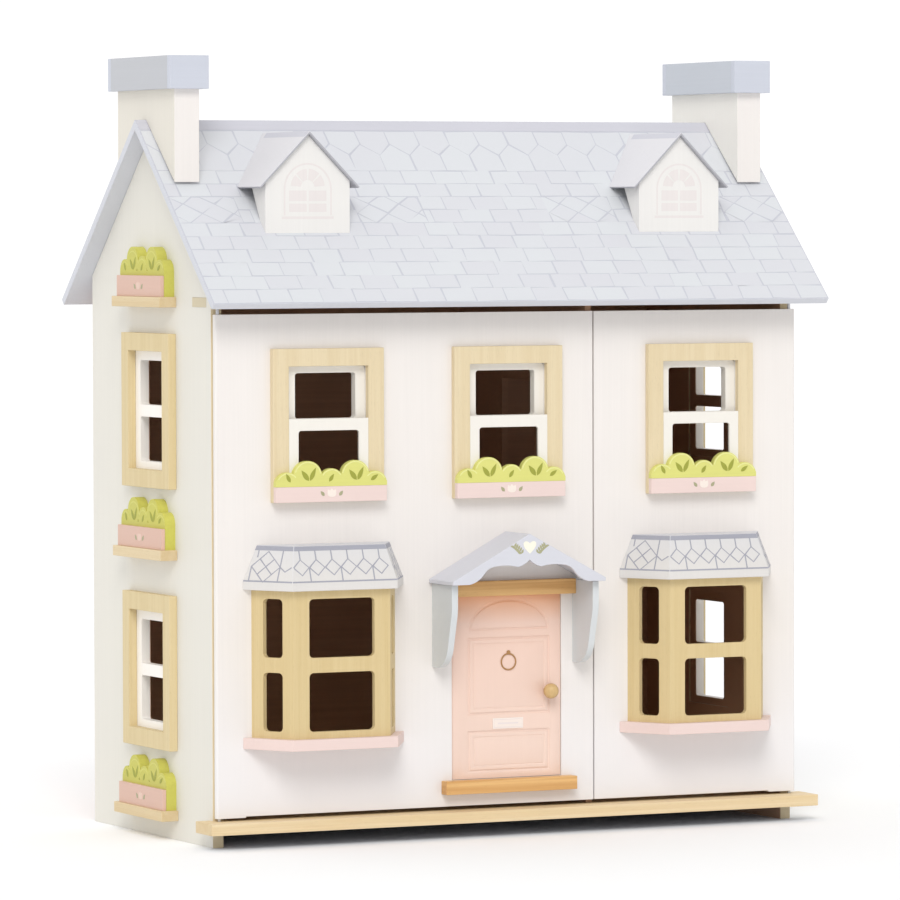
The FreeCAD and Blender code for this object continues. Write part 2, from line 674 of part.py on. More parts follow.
def front_window(index, centre):
    tag = "window_%d" % index
    ring = box(tag + "_ring", centre - D["frame_width"] / 2, centre + D["frame_width"] / 2,
               deep(-D["frame_deep"]), deep(0), D["frame_low"], D["frame_top"])
    hole = box(tag + "_clear", centre - light, centre + light, deep(-D["frame_deep"] - over),
               deep(over), D["light_low"], D["light_top"])
    node(tag + "_frame", cut(tag + "_frame", ring, [hole]))
    back = deep(D["sash_set"] + D["sash_deep"])
    blank = box(tag + "_upper", centre - light, centre + light, deep(D["sash_set"]), back,
                D["light_low"], D["light_top"])
    plate = fillet(tag + "_upper_round", blank,
                   [(lambda edge: along(edge, V(0, 1, 0)), D["sash_round"])])
    glass = D["pane_width"] / 2
    high = pane(tag + "_pane_high", "y", centre - glass, centre + glass, deep(0), back + over,
                D["rail_top"], D["light_top"] - D["pane_high_margin"])
    wide = light - D["sash_stile"]
    open_low = box(tag + "_open_low", centre - wide, centre + wide, deep(0), back + over,
                   D["light_low"] + D["sash_stile"], D["rail_top"] - D["sash_rail"])
    upper = cut(tag + "_upper_cut", plate, [high, open_low])
    thin = box(tag + "_lower", centre - light, centre + light, deep(-D["frame_deep"]),
               deep(D["plate_deep"] - D["frame_deep"]), D["light_low"], D["rail_top"])
    low = pane(tag + "_pane_low", "y", centre - glass, centre + glass,
               deep(-D["frame_deep"] - over), deep(0), D["pane_low_from"], D["pane_low_to"])
    node(tag + "_sash", gather(tag + "_sash", [upper, cut(tag + "_lower_cut", thin, [low])]))

    front = deep(-D["frame_deep"] - D["planter_deep"])
    wide = D["frame_width"] / 2
    node("planter_%d_box" % index,
         box("planter_%d_box" % index, centre - wide, centre + wide, front,
             deep(-D["frame_deep"]), D["planter_low"], D["planter_top"]))
    lobes = [box("planter_%d_base" % index, centre - wide, centre + wide, front,
                 deep(-D["frame_deep"]), D["planter_top"], D["planter_top"] + D["leaf_base"])]
    for order, (offset, radius, height) in enumerate(FRONT_LOBES):
        lobes.append(rod("planter_%d_lobe_%d" % (index, order), "y", radius, centre + offset,
                         front, D["planter_top"] + height - radius, D["planter_deep"]))
    mass = fuse("planter_%d_mass" % index, lobes)
    keep = box("planter_%d_keep" % index, centre - wide, centre + wide, front - over,
               deep(0), D["planter_top"], D["frame_top"])
    node("planter_%d_foliage" % index, common("planter_%d_foliage" % index, mass, keep))
    return box(tag + "_opening", centre - light, centre + light, cut_front, cut_back,
               D["light_low"], D["light_top"])


def panel_blank(side, inner_edge, sign):
    """Panel with rounded outer corners and a lower heel at the pivot."""
    x0, x1 = (inner_edge, half) if sign > 0 else (-half, inner_edge)
    outer = half.value * sign
    blank = box("panel_block_" + side, x0, x1, deep(0), deep(D["panel"]), D["panel_heel"],
                D["panel_top"])
    up = V(0, 0, 1)
    front = deep(0).value

    def is_front(edge):
        point = edge.CenterOfMass
        return along(edge, up) and abs(point.x - outer) < 0.1 and abs(point.y - front) < 0.1

    def is_back(edge):
        point = edge.CenterOfMass
        return along(edge, up) and abs(point.x - outer) < 0.1 and point.y > front + 1

    round_block = fillet("panel_round_" + side, blank,
                         [(is_front, D["front_round"]), (is_back, D["back_round"])])
    heel = half - D["heel_length"]
    low0, low1 = (inner_edge - over, heel) if sign > 0 else (-heel, inner_edge + over)
    tools = [box("panel_relief_" + side, low0, low1, cut_front, cut_back, D["panel_heel"] - over,
                 D["panel_low"])]
    x = pivot_x if sign > 0 else -pivot_x
    start = D["panel_heel"] - over
    end = D["base_low"] + D["pin_start"] + D["pin_low_long"] + D["bore_play"]
    tools.append(rod("panel_bore_low_" + side, "z", D["bore_radius"], x, pivot_y, start,
                     end - start))
    start = D["attic_top"] - D["pin_end"] - D["pin_high_long"] - D["bore_play"]
    tools.append(rod("panel_bore_high_" + side, "z", D["bore_radius"], x, pivot_y, start,
                     D["panel_top"] + over - start))
    return round_block, tools


block, tools = panel_blank("left", D["seam"] - D["seam_gap"] / 2, -1)
tools.append(front_window(1, D["window_one"]))
tools.append(front_window(2, D["window_two"]))
tools.append(bay_window("left", -D["bay_centre"]))
gap = D["door_gap"]
tools.append(box("door_opening", D["door_left"] - gap, D["door_right"] + gap, cut_front,
                 cut_back, D["door_low"] - gap, D["door_top"] + gap))
door_x = D["door_left"] + D["door_deep"] / 2
door_y = deep(D["door_set"] + D["door_deep"] / 2)
door_pins = []
for level, z in (("low", D["door_low"] - D["door_pin_low"]),
                 ("high", D["door_top"] - D["door_pin_high"])):
    door_pins.append(rod("door_pin_" + level, "z", D["door_pin"], door_x, door_y, z,
                         D["door_pin_long"]))
    tools.append(rod("door_pin_seat_" + level, "z", D["door_pin"], door_x, door_y, z,
                     D["door_pin_long"]))
node("front_panel_left", cut("front_panel_left", block, tools))
node("door_hinge_pins", gather("door_hinge_pins", door_pins))

block, tools = panel_blank("right", D["seam"] + D["seam_gap"] / 2, 1)
tools.append(front_window(3, D["window_three"]))
tools.append(bay_window("right", D["bay_centre"]))
node("front_panel_right", cut("front_panel_right", block, tools))

centre = D["canopy_centre"]
wide = D["canopy_half"]
# scalloped lower edge of the fascia: distance from the centre, height above its ends
SCALLOP = ((58, 0.2), (50, 3.2, "arc"), (43.5, 9.4), (39, 13.4, "arc"), (33, 15.2),
           (21, 15.8, "arc"), (11, 14.3), (5.5, 16.4, "arc"))
half_edge = [(centre - step[0], D["canopy_low"] + step[1], *step[2:]) for step in SCALLOP]
other_edge = [(centre + step[0], D["canopy_low"] + step[1], *step[2:]) for step in SCALLOP[::-1]]
fascia = [(centre - wide, D["canopy_low"]), *half_edge, (centre, D["canopy_peak"]), *other_edge,
          (centre + wide, D["canopy_low"]), (centre + wide, D["canopy_end"]),
          (centre, D["canopy_apex"]), (centre - wide, D["canopy_end"])]
fascia_back = deep(D["fascia"] - D["canopy_deep"])
node("canopy_fascia", prism("canopy_fascia", "y", fascia, deep(-D["canopy_deep"]), fascia_back))
eave = D["canopy_end"] - D["canopy_board"]
chevron = [(centre - wide, D["canopy_end"]), (centre - wide, eave),
           (centre, D["canopy_apex"] - D["canopy_board"]), (centre + wide, eave),
           (centre + wide, D["canopy_end"]), (centre, D["canopy_apex"])]
node("canopy_roof", prism("canopy_roof", "y", chevron, fascia_back, deep(0)))
# curved front edge of a bracket: distance behind its foremost point, height above its toe
ARM = ((0, 57), (0.5, 49, "arc"), (2.4, 41), (8.4, 19), (16.5, 5.6, "arc"))
reach = D["bracket_deep"]
toe = D["bracket_low"]
arm = [(deep(0), D["bracket_top"]), (deep(-reach), D["bracket_top"]),
       *[(deep(step[0] - reach), toe + step[1], *step[2:]) for step in ARM],
       (deep(-D["bracket_toe"]), toe), (deep(0), toe)]
outer = D["bracket_half"]
inside = outer - D["bracket"]
arms = [prism("bracket_a", "x", arm, centre - outer, centre - inside),
        prism("bracket_b", "x", arm, centre + inside, centre + outer)]
node("canopy_brackets", gather("canopy_brackets", arms))
node("door_lintel", box("door_lintel", centre - inside, centre + inside,
                        deep(-D["lintel_deep"]), deep(0), D["lintel_low"], D["lintel_top"]))
node("door_step", box("door_step", D["step_left"], D["step_right"], deep(-D["step_deep"]), deep(0),
                      D["step_low"], D["step_top"]))

# ---- front door -------------------------------------------------------------
leaf_front = deep(D["door_set"])
leaf_block = box("leaf_block", D["door_left"], D["door_right"], leaf_front,
                 leaf_front + D["door_deep"], D["door_low"], D["door_top"])
# the hinge edge is a half round, with a radius a hair under half the thickness
leaf_round = fillet("leaf_round", leaf_block, [
    (lambda edge: along(edge, V(0, 0, 1)) and edge.CenterOfMass.x < D["door_left"].value + 0.1,
     D["door_deep"] * 0.499)])
bores = [rod("leaf_bore_low", "z", D["door_bore"], door_x, door_y, D["door_low"] - over,
             D["door_pin_long"] - D["door_pin_low"] + 2 * over),
         rod("leaf_bore_high", "z", D["door_bore"], door_x, door_y,
             D["door_top"] - D["door_pin_high"] - over, D["door_pin_high"] + 2 * over)]
node("door_leaf", cut("door_leaf", leaf_round, bores))
ball = doc.addObject("Part::Sphere", "knob_ball")
bind(ball, "Radius", D["knob_radius"])
place(ball, D["knob_x"], leaf_front - D["knob_reach"], D["knob_z"])
neck = rod("knob_neck", "y", D["neck_radius"], D["knob_x"], leaf_front - D["knob_reach"],
           D["knob_z"], D["knob_reach"])
node("door_knob", fuse("door_knob", [ball, neck]))
node("letter_plate", box("letter_plate", D["letter_left"], D["letter_right"],
                         leaf_front - D["letter_deep"], leaf_front, D["letter_low"],
                         D["letter_top"]))


# ---- roof -------------------------------------------------------------------
def roof_board(name, sign):
    """Board from the ridge down to a square-cut eave; sign -1 is the front."""
    run = D["eave_run"] * sign
    thick_y = D["roof_board"] * slope / stretch * sign
    thick_z = D["roof_board"] / stretch
    points = [(ridge_y, D["ridge_z"]), (ridge_y + run, D["eave_z"]),
              (ridge_y + run - thick_y, D["eave_z"] - thick_z),
              (ridge_y, D["ridge_z"] - drop)]
    return node(name, prism(name, "x", points, -D["roof_half"], D["roof_half"]))


roof_board("roof_front", -1)
roof_board("roof_back", 1)
cleats = []
foot = deep(D["cleat_foot"])
for side, sign in SIDES:
    x1 = inner - D["cleat_gap"]
    x0, x1 = span(sign, x1 - D["cleat"], x1)
    low = drop + D["cleat_high"]
    points = [(foot, roof_z(foot) - drop), (foot, roof_z(foot) - low),
              (ridge_y, D["ridge_z"] - low), (2 * ridge_y - foot, roof_z(foot) - low),
              (2 * ridge_y - foot, roof_z(foot) - drop), (ridge_y, D["ridge_z"] - drop)]
    cleats.append(prism("cleat_" + side, "x", points, x0, x1))
node("roof_cleats", gather("roof_cleats", cleats))


def below_roof(name, gap, fall, x0, x1):
    """Everything under two slopes that start a gap above the ridge, used to seat parts."""
    far = D["eave_run"]
    peak = D["ridge_z"] + gap
    points = [(ridge_y, peak), (ridge_y - far, peak - fall * far), (ridge_y - far, D["first_top"]),
              (ridge_y + far, D["first_top"]), (ridge_y + far, peak - fall * far)]
    return prism(name, "x", points, x0, x1)


pitch = (D["dormer_apex"] - D["dormer_eave"]) / D["dormer_eave_half"]
pitch_root = root(pitch * pitch + 1)
board_z = D["dormer_board"] * pitch_root
seat_half = D["dormer_eave_half"] + D["dormer_foot"]
dormer_back = ridge_y - D["dormer_end"]
for side, sign in SIDES:
    centre = D["dormer_centre"] * sign
    wide = D["dormer_half"]
    crest = D["dormer_apex"] - board_z
    shoulder = crest - pitch * wide
    root_z = D["dormer_root"]
    gable = [(centre - wide, root_z), (centre + wide, root_z), (centre + wide, shoulder),
             (centre, crest), (centre - wide, shoulder)]
    front = deep(D["dormer_front"])
    solid = prism("dormer_block_" + side, "y", gable, front, dormer_back)
    # the block stands on its foot and leaves a wedge that opens towards its eaves
    heel = front + D["dormer_foot"]
    eave_y = ridge_y - (D["ridge_z"] - D["dormer_eave"]) / slope - D["dormer_gap"]
    lean = (eave_y - heel) / (D["dormer_eave"] - roof_z(heel))
    peak = D["dormer_apex"] + over
    wedge = prism("dormer_wedge_" + side, "x",
                  [(heel, roof_z(heel)), (heel + lean * (peak - roof_z(heel)), peak),
                   (ridge_y, peak), (ridge_y, roof_z(heel))],
                  centre - seat_half, centre + seat_half)
    node("dormer_" + side, cut("dormer_" + side, solid, [
        below_roof("dormer_seat_" + side, 0, slope, centre - seat_half, centre + seat_half),
        wedge]))
    tip = D["dormer_eave_half"]
    tip_x = D["dormer_board"] * pitch / pitch_root
    tip_z = D["dormer_eave"] - D["dormer_board"] / pitch_root
    cover = [(centre, D["dormer_apex"]), (centre - tip, D["dormer_eave"]),
             (centre - tip + tip_x, tip_z), (centre, crest), (centre + tip - tip_x, tip_z),
             (centre + tip, D["dormer_eave"])]
    solid = prism("dormer_cover_" + side, "y", cover, deep(D["dormer_front"] - D["dormer_lip"]),
                  dormer_back)
    node("dormer_%s_roof" % side, cut("dormer_%s_roof" % side, solid, [
        below_roof("cover_seat_" + side, 0, slope, centre - seat_half, centre + seat_half)]))

# ---- chimneys ---------------------------------------------------------------
# a chimney sits on the ridge and its notch opens slightly towards its feet
notch = slope - (D["stack_foot_gap"] - D["stack_gap"]) / (D["stack_long"] / 2)
for side, sign in SIDES:
    x0, x1 = span(sign, D["stack_in"], D["stack_out"])
    y0 = ridge_y - D["stack_long"] / 2
    y1 = ridge_y + D["stack_long"] / 2
    solid = box("stack_block_" + side, x0, x1, y0, y1, D["stack_low"], D["stack_top"])
    node("chimney_%s_shaft" % side, cut("chimney_%s_shaft" % side, solid, [
        below_roof("stack_seat_" + side, D["stack_gap"], notch, x0 - over, x1 + over)]))
    strip = D["cap_strip"]
    ring = box("cap_block_" + side, x0 - strip, x1 + strip, y0 - strip, y1 + strip,
               D["cap_low"], D["cap_top"])
    hole = box("cap_hole_" + side, x0, x1, y0, y1, D["cap_low"] - over, D["cap_top"] + over)
    node("chimney_%s_cap" % side, cut("chimney_%s_cap" % side, ring, [hole]))

doc.recompute()
for item in doc.Objects:
    if "Invalid" in item.State or "Error" in item.State:
        raise RuntimeError("%s did not build: %s" % (item.Name, item.State))
for item in NODES:
    if item.Shape.isNull() or not item.Shape.isValid() or not item.Shape.Solids:
        raise RuntimeError("%s has no valid solid" % item.Label)
    item.Shape.exportStep("parts/%s.step" % item.Label)
print("%d parts written" % len(NODES))
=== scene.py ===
import math
import random

import bmesh
import bpy
from mathutils import Matrix, Vector


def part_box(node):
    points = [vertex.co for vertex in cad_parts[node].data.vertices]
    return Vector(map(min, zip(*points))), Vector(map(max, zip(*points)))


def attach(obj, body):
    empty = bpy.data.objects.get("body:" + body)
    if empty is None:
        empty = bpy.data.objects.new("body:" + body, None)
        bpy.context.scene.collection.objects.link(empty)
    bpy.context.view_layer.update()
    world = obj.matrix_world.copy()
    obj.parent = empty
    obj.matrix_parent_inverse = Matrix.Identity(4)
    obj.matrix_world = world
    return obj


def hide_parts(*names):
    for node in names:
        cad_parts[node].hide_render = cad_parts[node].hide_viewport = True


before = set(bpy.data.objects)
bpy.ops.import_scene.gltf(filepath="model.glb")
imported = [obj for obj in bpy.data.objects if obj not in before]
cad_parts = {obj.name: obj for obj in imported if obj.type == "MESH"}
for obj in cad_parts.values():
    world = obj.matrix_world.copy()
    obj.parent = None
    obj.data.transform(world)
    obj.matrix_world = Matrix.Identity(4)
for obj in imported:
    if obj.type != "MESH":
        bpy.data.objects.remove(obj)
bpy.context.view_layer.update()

# Wooden dollhouse.  Lengths below are millimetres in the frame of the CAD: +Z up, front to -Y.
MM = 0.001
WELD = 0.00001                              # vertices closer than this, in metres, are merged
random.seed(11)


def low(node):
    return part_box(node)[0] / MM


def high(node):
    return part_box(node)[1] / MM


FACE = low("front_panel_left").y            # front face of the front panels
ROOM_HALF = low("side_wall_right").x        # inner face of a side wall
SASH_BACK = low("right_window_sashes").x    # inner face of a side sash
RIDGE = Vector((0, low("roof_back").y, high("roof_front").z))
EAVE_FRONT = low("roof_front").y
ROOF_HALF = high("roof_front").x
ROOF_BOARD = 6.5                            # thickness of a roof board
EAVE_RUN = RIDGE.y - EAVE_FRONT
PITCH = math.asin(ROOF_BOARD / EAVE_RUN)    # first guess, made exact below
for _ in range(20):
    EAVE_TOP = low("roof_front").z + ROOF_BOARD * math.cos(PITCH)
    PITCH = math.atan2(RIDGE.z - EAVE_TOP, EAVE_RUN)


# ---- shader helpers ---------------------------------------------------------
SHADES = {}                                 # every material by the name it was asked for
BRUSH = (2.2, 2.2, 160)                     # size of a brush streak
CLOUD = (70, 70, 70)                        # size of a soft patch
TOOTH = (0.9, 0.9, 0.9)                     # size of the tooth of paint
FOOT_LOW, FOOT_HIGH = 30, 170               # levels between which the foot colour, a painted cool tint against warm bounce light, fades out
INNER_STEP = (0.3, 0.8)                     # room colour ends between these depths of a wall
DOOR_SHADE_BAND = 24                              # height of the band of painted shade and painted warm reflection at the top of the door

def srgb(red, green, blue):
    """Display colour from 0 to 255 as a linear colour."""
    linear = []
    for value in (red, green, blue):
        value = value / 255
        linear.append(value / 12.92 if value <= 0.04045 else ((value + 0.055) / 1.055) ** 2.4)
    return (*linear, 1.0)


class Shade:
    """A material built from nodes, in object coordinates counted in millimetres."""

    def __init__(self, name):
        self.name = name
        self.material = bpy.data.materials.new(name)
        self.material.use_nodes = True
        self.tree = self.material.node_tree
        self.surface = self.tree.nodes["Principled BSDF"]
        coords = self.add("TexCoord")
        self.normal = coords.outputs["Normal"]
        scale = self.add("VectorMath", operation="SCALE")
        self.put(scale.inputs[0], coords.outputs["Object"])
        scale.inputs["Scale"].default_value = 1 / MM
        self.place = scale.outputs[0]

    def add(self, kind, **settings):
        node = self.tree.nodes.new("ShaderNode" + kind)
        for key, value in settings.items():
            setattr(node, key, value)
        return node

    def put(self, socket, value):
        if isinstance(value, bpy.types.NodeSocket):
            self.tree.links.new(value, socket)
        else:
            socket.default_value = value

    def math(self, operation, a, b=0.0, c=0.0):
        node = self.add("Math", operation=operation)
        for socket, value in zip(node.inputs, (a, b, c)):
            self.put(socket, value)
        return node.outputs[0]

    def mix(self, factor, a, b):
        node = self.add("Mix", data_type="RGBA")
        self.put(node.inputs[0], factor)
        self.put(node.inputs[6], a)
        self.put(node.inputs[7], b)
        return node.outputs[2]

    def stretched(self, size):
        """Object coordinates divided by a size along each axis."""
        node = self.add("VectorMath", operation="DIVIDE")
        self.put(node.inputs[0], self.place)
        node.inputs[1].default_value = size
        return node.outputs[0]

    def noise(self, size, detail=3.0, roughness=0.5, distortion=0.0):
        node = self.add("TexNoise")
        self.put(node.inputs["Vector"], self.stretched(size))
        node.inputs["Scale"].default_value = 1.0
        node.inputs["Detail"].default_value = detail
        node.inputs["Roughness"].default_value = roughness
        node.inputs["Distortion"].default_value = distortion
        return node.outputs[0]

    def blend(self, a, b, share):
        """Weighted mean of two values; the share is the weight of the first."""
        return self.math("ADD", self.math("MULTIPLY", a, share), self.math("MULTIPLY", b, 1 - share))

    def split(self, vector):
        """The x, y and z parts of a vector."""
        node = self.add("SeparateXYZ")
        self.put(node.inputs[0], vector)
        return node.outputs

    def room_side(self, wall):
        """1 on the faces of a side wall or side sash that look into the room, else 0."""
        reach = self.math("ABSOLUTE", self.split(self.place)[0])
        return self.span(reach, wall + INNER_STEP[0], wall + INNER_STEP[1], 1.0, 0.0)

    def span(self, value, low_in, high_in, low_out=0.0, high_out=1.0):
        node = self.add("MapRange")
        for socket, item in zip(node.inputs, (value, low_in, high_in, low_out, high_out)):
            self.put(socket, item)
        return node.outputs[0]

    def bump(self, height, depth):
        """Bump from a height of 0 to 1 that stands for a depth in millimetres."""
        node = self.add("Bump")
        node.inputs["Strength"].default_value = 1.0
        node.inputs["Distance"].default_value = depth * MM
        self.put(node.inputs["Height"], height)
        self.put(self.surface.inputs["Normal"], node.outputs[0])

    def finish(self, colour, roughness, specular=0.35):
        self.put(self.surface.inputs["Base Color"], colour)
        self.put(self.surface.inputs["Roughness"], roughness)
        self.surface.inputs["Specular IOR Level"].default_value = specular
        SHADES[self.name] = self.material


def shift(colour, amount):
    """A colour made lighter or darker."""
    return (*[min(1.0, max(0.0, part * (1 + amount))) for part in colour[:3]], 1.0)


AXES = {"x": 0, "y": 1, "z": 2}


def along(axis, length, across):
    size = [across] * 3
    size[AXES[axis]] = length
    return tuple(size)


def painted(name, colour, axis="z", tint=0.03, rough=0.52, tooth=0.05, foot=None):
    """Painted board: brush streaks along an axis, a little mottling, fine tooth.
    foot: a slightly cooler colour near the ground, painted light that offsets the warm light bounced up
    from the base."""
    shade = Shade(name)
    streak = shade.noise(along(axis, 160, 2.2), 4.0, 0.6)
    cloud = shade.noise(CLOUD, 3.0)
    grain = shade.noise(TOOTH, 2.0)
    value = shade.blend(streak, cloud, 0.55)
    base = shade.mix(shade.span(value, 0.3, 0.7), shift(colour, -tint), shift(colour, tint * 0.6))
    # painted light: the cooler foot colour fades in towards the ground to offset warm bounce light
    if foot:
        level = shade.split(shade.place)[2]
        base = shade.mix(shade.span(level, FOOT_LOW, FOOT_HIGH, 0.8, 0.0), base, foot)
    grime = shade.span(shade.noise((9, 9, 9), 5.0, 0.65), 0.62, 0.78, 0.0, 0.06)
    base = shade.mix(grime, base, shift(colour, -0.25))
    shade.bump(shade.blend(streak, grain, 0.6), tooth)
    shade.finish(base, shade.span(cloud, 0.3, 0.7, rough - 0.07, rough + 0.08))


def bare_wood(name, light, dark, axis="z", rough=0.55, band=9.0, figure=0.5, under=None):
    """Bare or varnished wood: growth bands, fine streaks, pores and darker end grain."""
    shade = Shade(name)
    broad = shade.noise(along(axis, 420, band), 2.0, 0.5, 0.6)
    rings = shade.math("PINGPONG", shade.math("MULTIPLY", broad, 5.0), 1.0)
    streak = shade.noise(along(axis, 70, 0.8), 5.0, 0.65)
    pores = shade.span(shade.noise(along(axis, 7, 0.35), 1.0), 0.66, 0.74)
    value = shade.blend(rings, streak, figure)
    base = shade.mix(shade.span(value, 0.25, 0.8), light, dark)
    base = shade.mix(shade.math("MULTIPLY", pores, 0.35), base, shift(dark, -0.3))
    facing = shade.split(shade.normal)
    end = shade.math("ABSOLUTE", facing[AXES[axis]])
    base = shade.mix(shade.span(end, 0.8, 0.95, 0.0, 0.45), base, shift(dark, -0.15))
    if under:
        base = shade.mix(shade.span(facing[2], -0.9, -0.7, 1.0, 0.0), base, under)
    shade.bump(shade.math("SUBTRACT", streak, shade.math("MULTIPLY", pores, 0.5)), 0.06)
    shade.finish(base, shade.span(streak, 0.3, 0.7, rough - 0.08, rough + 0.1))


def two_tone(name, colour, other, axis, one_way=False):
    """Painted piece whose faces towards an axis have another colour; one_way: + side only."""
    shade = Shade(name)
    streak = shade.noise(BRUSH, 4.0, 0.6)
    cloud = shade.noise(CLOUD, 3.0)
    value = shade.blend(streak, cloud, 0.5)
    tone = shade.span(value, 0.3, 0.7)
    facing = shade.split(shade.normal)[AXES[axis]]
    if not one_way:
        facing = shade.math("ABSOLUTE", facing)
    turned = shade.span(facing, 0.3, 0.4)
    main = shade.mix(tone, shift(colour, -0.03), shift(colour, 0.015))
    side = shade.mix(tone, shift(other, -0.03), shift(other, 0.015))
    base = shade.mix(turned, main, side)
    tooth = shade.noise(TOOTH, 2.0)
    shade.bump(shade.math("ADD", shade.math("MULTIPLY", streak, 0.5),
                          shade.math("MULTIPLY", tooth, 0.5)), 0.05)
    shade.finish(base, shade.span(cloud, 0.3, 0.7, 0.46, 0.6))


def door_paint(name, low_colour, high_colour, shade_colour, z0, z1):
    """Satin door paint that turns darker and warmer upwards, most of all right under the canopy: painted
    shade with a painted warm reflection of the lintel.
    """
    shade = Shade(name)
    streak = shade.noise((2.0, 2.0, 140), 4.0, 0.6)
    cloud = shade.noise((40, 40, 60), 3.0)
    level = shade.split(shade.place)[2]
    # painted light and shade: lighter low down, darker and warmer upwards, and under the canopy a band of
    # painted shade with a warm painted reflection
    base = shade.mix(shade.span(level, z0, z1), low_colour, high_colour)
    base = shade.mix(shade.span(level, z1 - DOOR_SHADE_BAND, z1), base, shade_colour)
    value = shade.blend(streak, cloud, 0.5)
    base = shade.mix(shade.span(value, 0.3, 0.7, 0.12, 0.0), base, shift(high_colour, -0.2))
    shade.bump(streak, 0.04)
    shade.finish(base, shade.span(cloud, 0.3, 0.7, 0.36, 0.5), 0.4)


def metal(name, colour):
    shade = Shade(name)
    scratch = shade.noise((0.3, 0.3, 14), 3.0)
    shade.surface.inputs["Metallic"].default_value = 1.0
    shade.bump(scratch, 0.01)
    base = shade.mix(scratch, shift(colour, -0.15), shift(colour, 0.1))
    shade.finish(base, shade.span(scratch, 0.3, 0.7, 0.28, 0.45), 0.5)


def plied(name, colour, room, edge_light, edge_dark):
    """Side wall: paint outside, darker paint in the rooms, bare layered wood on its front edge."""
    shade = Shade(name)
    streak = shade.noise(BRUSH, 4.0, 0.6)
    cloud = shade.noise(CLOUD, 3.0)
    value = shade.blend(streak, cloud, 0.5)
    paint = shade.mix(shade.span(value, 0.3, 0.7), shift(colour, -0.03), shift(colour, 0.015))
    paint = shade.mix(shade.room_side(ROOM_HALF), paint, room)
    fibre = shade.noise((0.5, 5, 40), 4.0)
    bare = shade.mix(shade.span(fibre, 0.3, 0.7), edge_light, edge_dark)
    front = shade.span(shade.split(shade.normal)[1], -0.9, -0.7, 1.0, 0.0)
    base = shade.mix(front, paint, bare)
    shade.bump(shade.math("ADD", shade.math("MULTIPLY", streak, 0.6),
                          shade.math("MULTIPLY", fibre, front)), 0.05)
    shade.finish(base, shade.span(cloud, 0.3, 0.7, 0.46, 0.6))


def lined(name, colour, room):
    """Side sash: paint, with the room's colour on the faces that look into the room."""
    shade = Shade(name)
    streak = shade.noise((2.2, 2.2, 120), 4.0, 0.6)
    cloud = shade.noise((50, 50, 50), 3.0)
    paint = shade.mix(shade.span(streak, 0.3, 0.7), shift(colour, -0.015), shift(colour, 0.01))
    base = shade.mix(shade.room_side(SASH_BACK), paint, room)
    shade.bump(streak, 0.05)
    shade.finish(base, shade.span(cloud, 0.3, 0.7, 0.46, 0.6))


# ---- colours and materials --------------------------------------------------
WHITE = srgb(236, 231, 227)
CREAM_WALL = srgb(228, 225, 216)
SLATE = srgb(210, 212, 219)
GROUT = srgb(198, 200, 209)
INK = srgb(163, 164, 175)
PINK = srgb(233, 211, 205)
# the door's darker, warmer upper colours are painted shade with a painted warm reflection of the lintel
ROSE_LOW = srgb(241, 217, 204)
ROSE_HIGH_SHADED = srgb(236, 203, 187)
ROSE_TOP_SHADE = srgb(238, 180, 140)
GREEN = srgb(219, 218, 126)
# a darker copy of GREEN for the planters on the side walls: painted shade
GREEN_SIDE_SHADED = srgb(201, 198, 94)
LEAF = srgb(160, 163, 66)
BROWN = srgb(200, 158, 128)
PINE = srgb(228, 212, 178)
PINE_DARK = srgb(219, 200, 162)
HONEY = srgb(231, 186, 124)
HONEY_DARK = srgb(206, 154, 92)

plied("wall_paint", CREAM_WALL, BROWN, PINE, PINE_DARK)
# the cooler foot is painted light against the warm light bounced up from the base
painted("panel_paint", WHITE, foot=srgb(237, 236, 239))
# the front and side sashes take two copies of one white; the lighter side copy is painted light that
# keeps the side sashes' jambs bright
painted("sash_paint", srgb(237, 233, 225), tint=0.015)
lined("side_sash_paint", srgb(250, 246, 240), BROWN)
two_tone("attic_paint", srgb(222, 214, 205), srgb(212, 200, 172), "x")
painted("brown_board", BROWN, axis="x", tint=0.12, rough=0.6, tooth=0.12)
bare_wood("pine", PINE, PINE_DARK, figure=0.3)
bare_wood("pine_bay", srgb(218, 197, 150), srgb(210, 187, 137), figure=0.3)
bare_wood("pine_side", srgb(222, 204, 162), srgb(213, 193, 146), figure=0.3)
bare_wood("pine_long", srgb(236, 217, 181), srgb(224, 198, 152), axis="x",
          figure=0.35, under=srgb(172, 172, 176))
bare_wood("pine_deep", srgb(226, 207, 170), srgb(214, 190, 146), axis="y", figure=0.35)
bare_wood("honey", HONEY, HONEY_DARK, axis="x", rough=0.4)
bare_wood("knob_wood", srgb(214, 182, 128), srgb(190, 152, 98), axis="z", rough=0.35)
painted("pink", PINK, axis="x", tint=0.03, rough=0.5)
# a darker copy of the planter pink for the side walls: painted shade
painted("pink_side_shaded", srgb(219, 184, 168), axis="y", tint=0.03, rough=0.5)
door_paint("door_pink", ROSE_LOW, ROSE_HIGH_SHADED, ROSE_TOP_SHADE, low("door_leaf").z,
           high("door_leaf").z)
painted("green", GREEN, axis="x", tint=0.06, rough=0.5)
# a darker copy of the foliage green for the side walls: painted shade
painted("green_side_shaded", GREEN_SIDE_SHADED, axis="y", tint=0.06, rough=0.5)
painted("leaf", LEAF, axis="z", tint=0.12, rough=0.55)
painted("rim", srgb(229, 229, 152), axis="x", tint=0.04)
# darker copies of the rim and petal colours for the side walls: painted shade
painted("rim_side_shaded", srgb(211, 209, 114), axis="y", tint=0.04)
painted("petal_side_shaded", srgb(228, 199, 184), axis="y", tint=0.02)
two_tone("slate_board", SLATE, GROUT, "z", True)
painted("slate_strip", srgb(203, 203, 212), axis="x", tint=0.03)
# dormer roof boards: faces that don't face up, edges and undersides, take a darker colour that is partly
# bare board and partly painted shade
two_tone("dormer_slate", srgb(176, 176, 182), srgb(222, 221, 225), "z", True)
painted("cap_front", srgb(201, 205, 216), axis="x", tint=0.03)
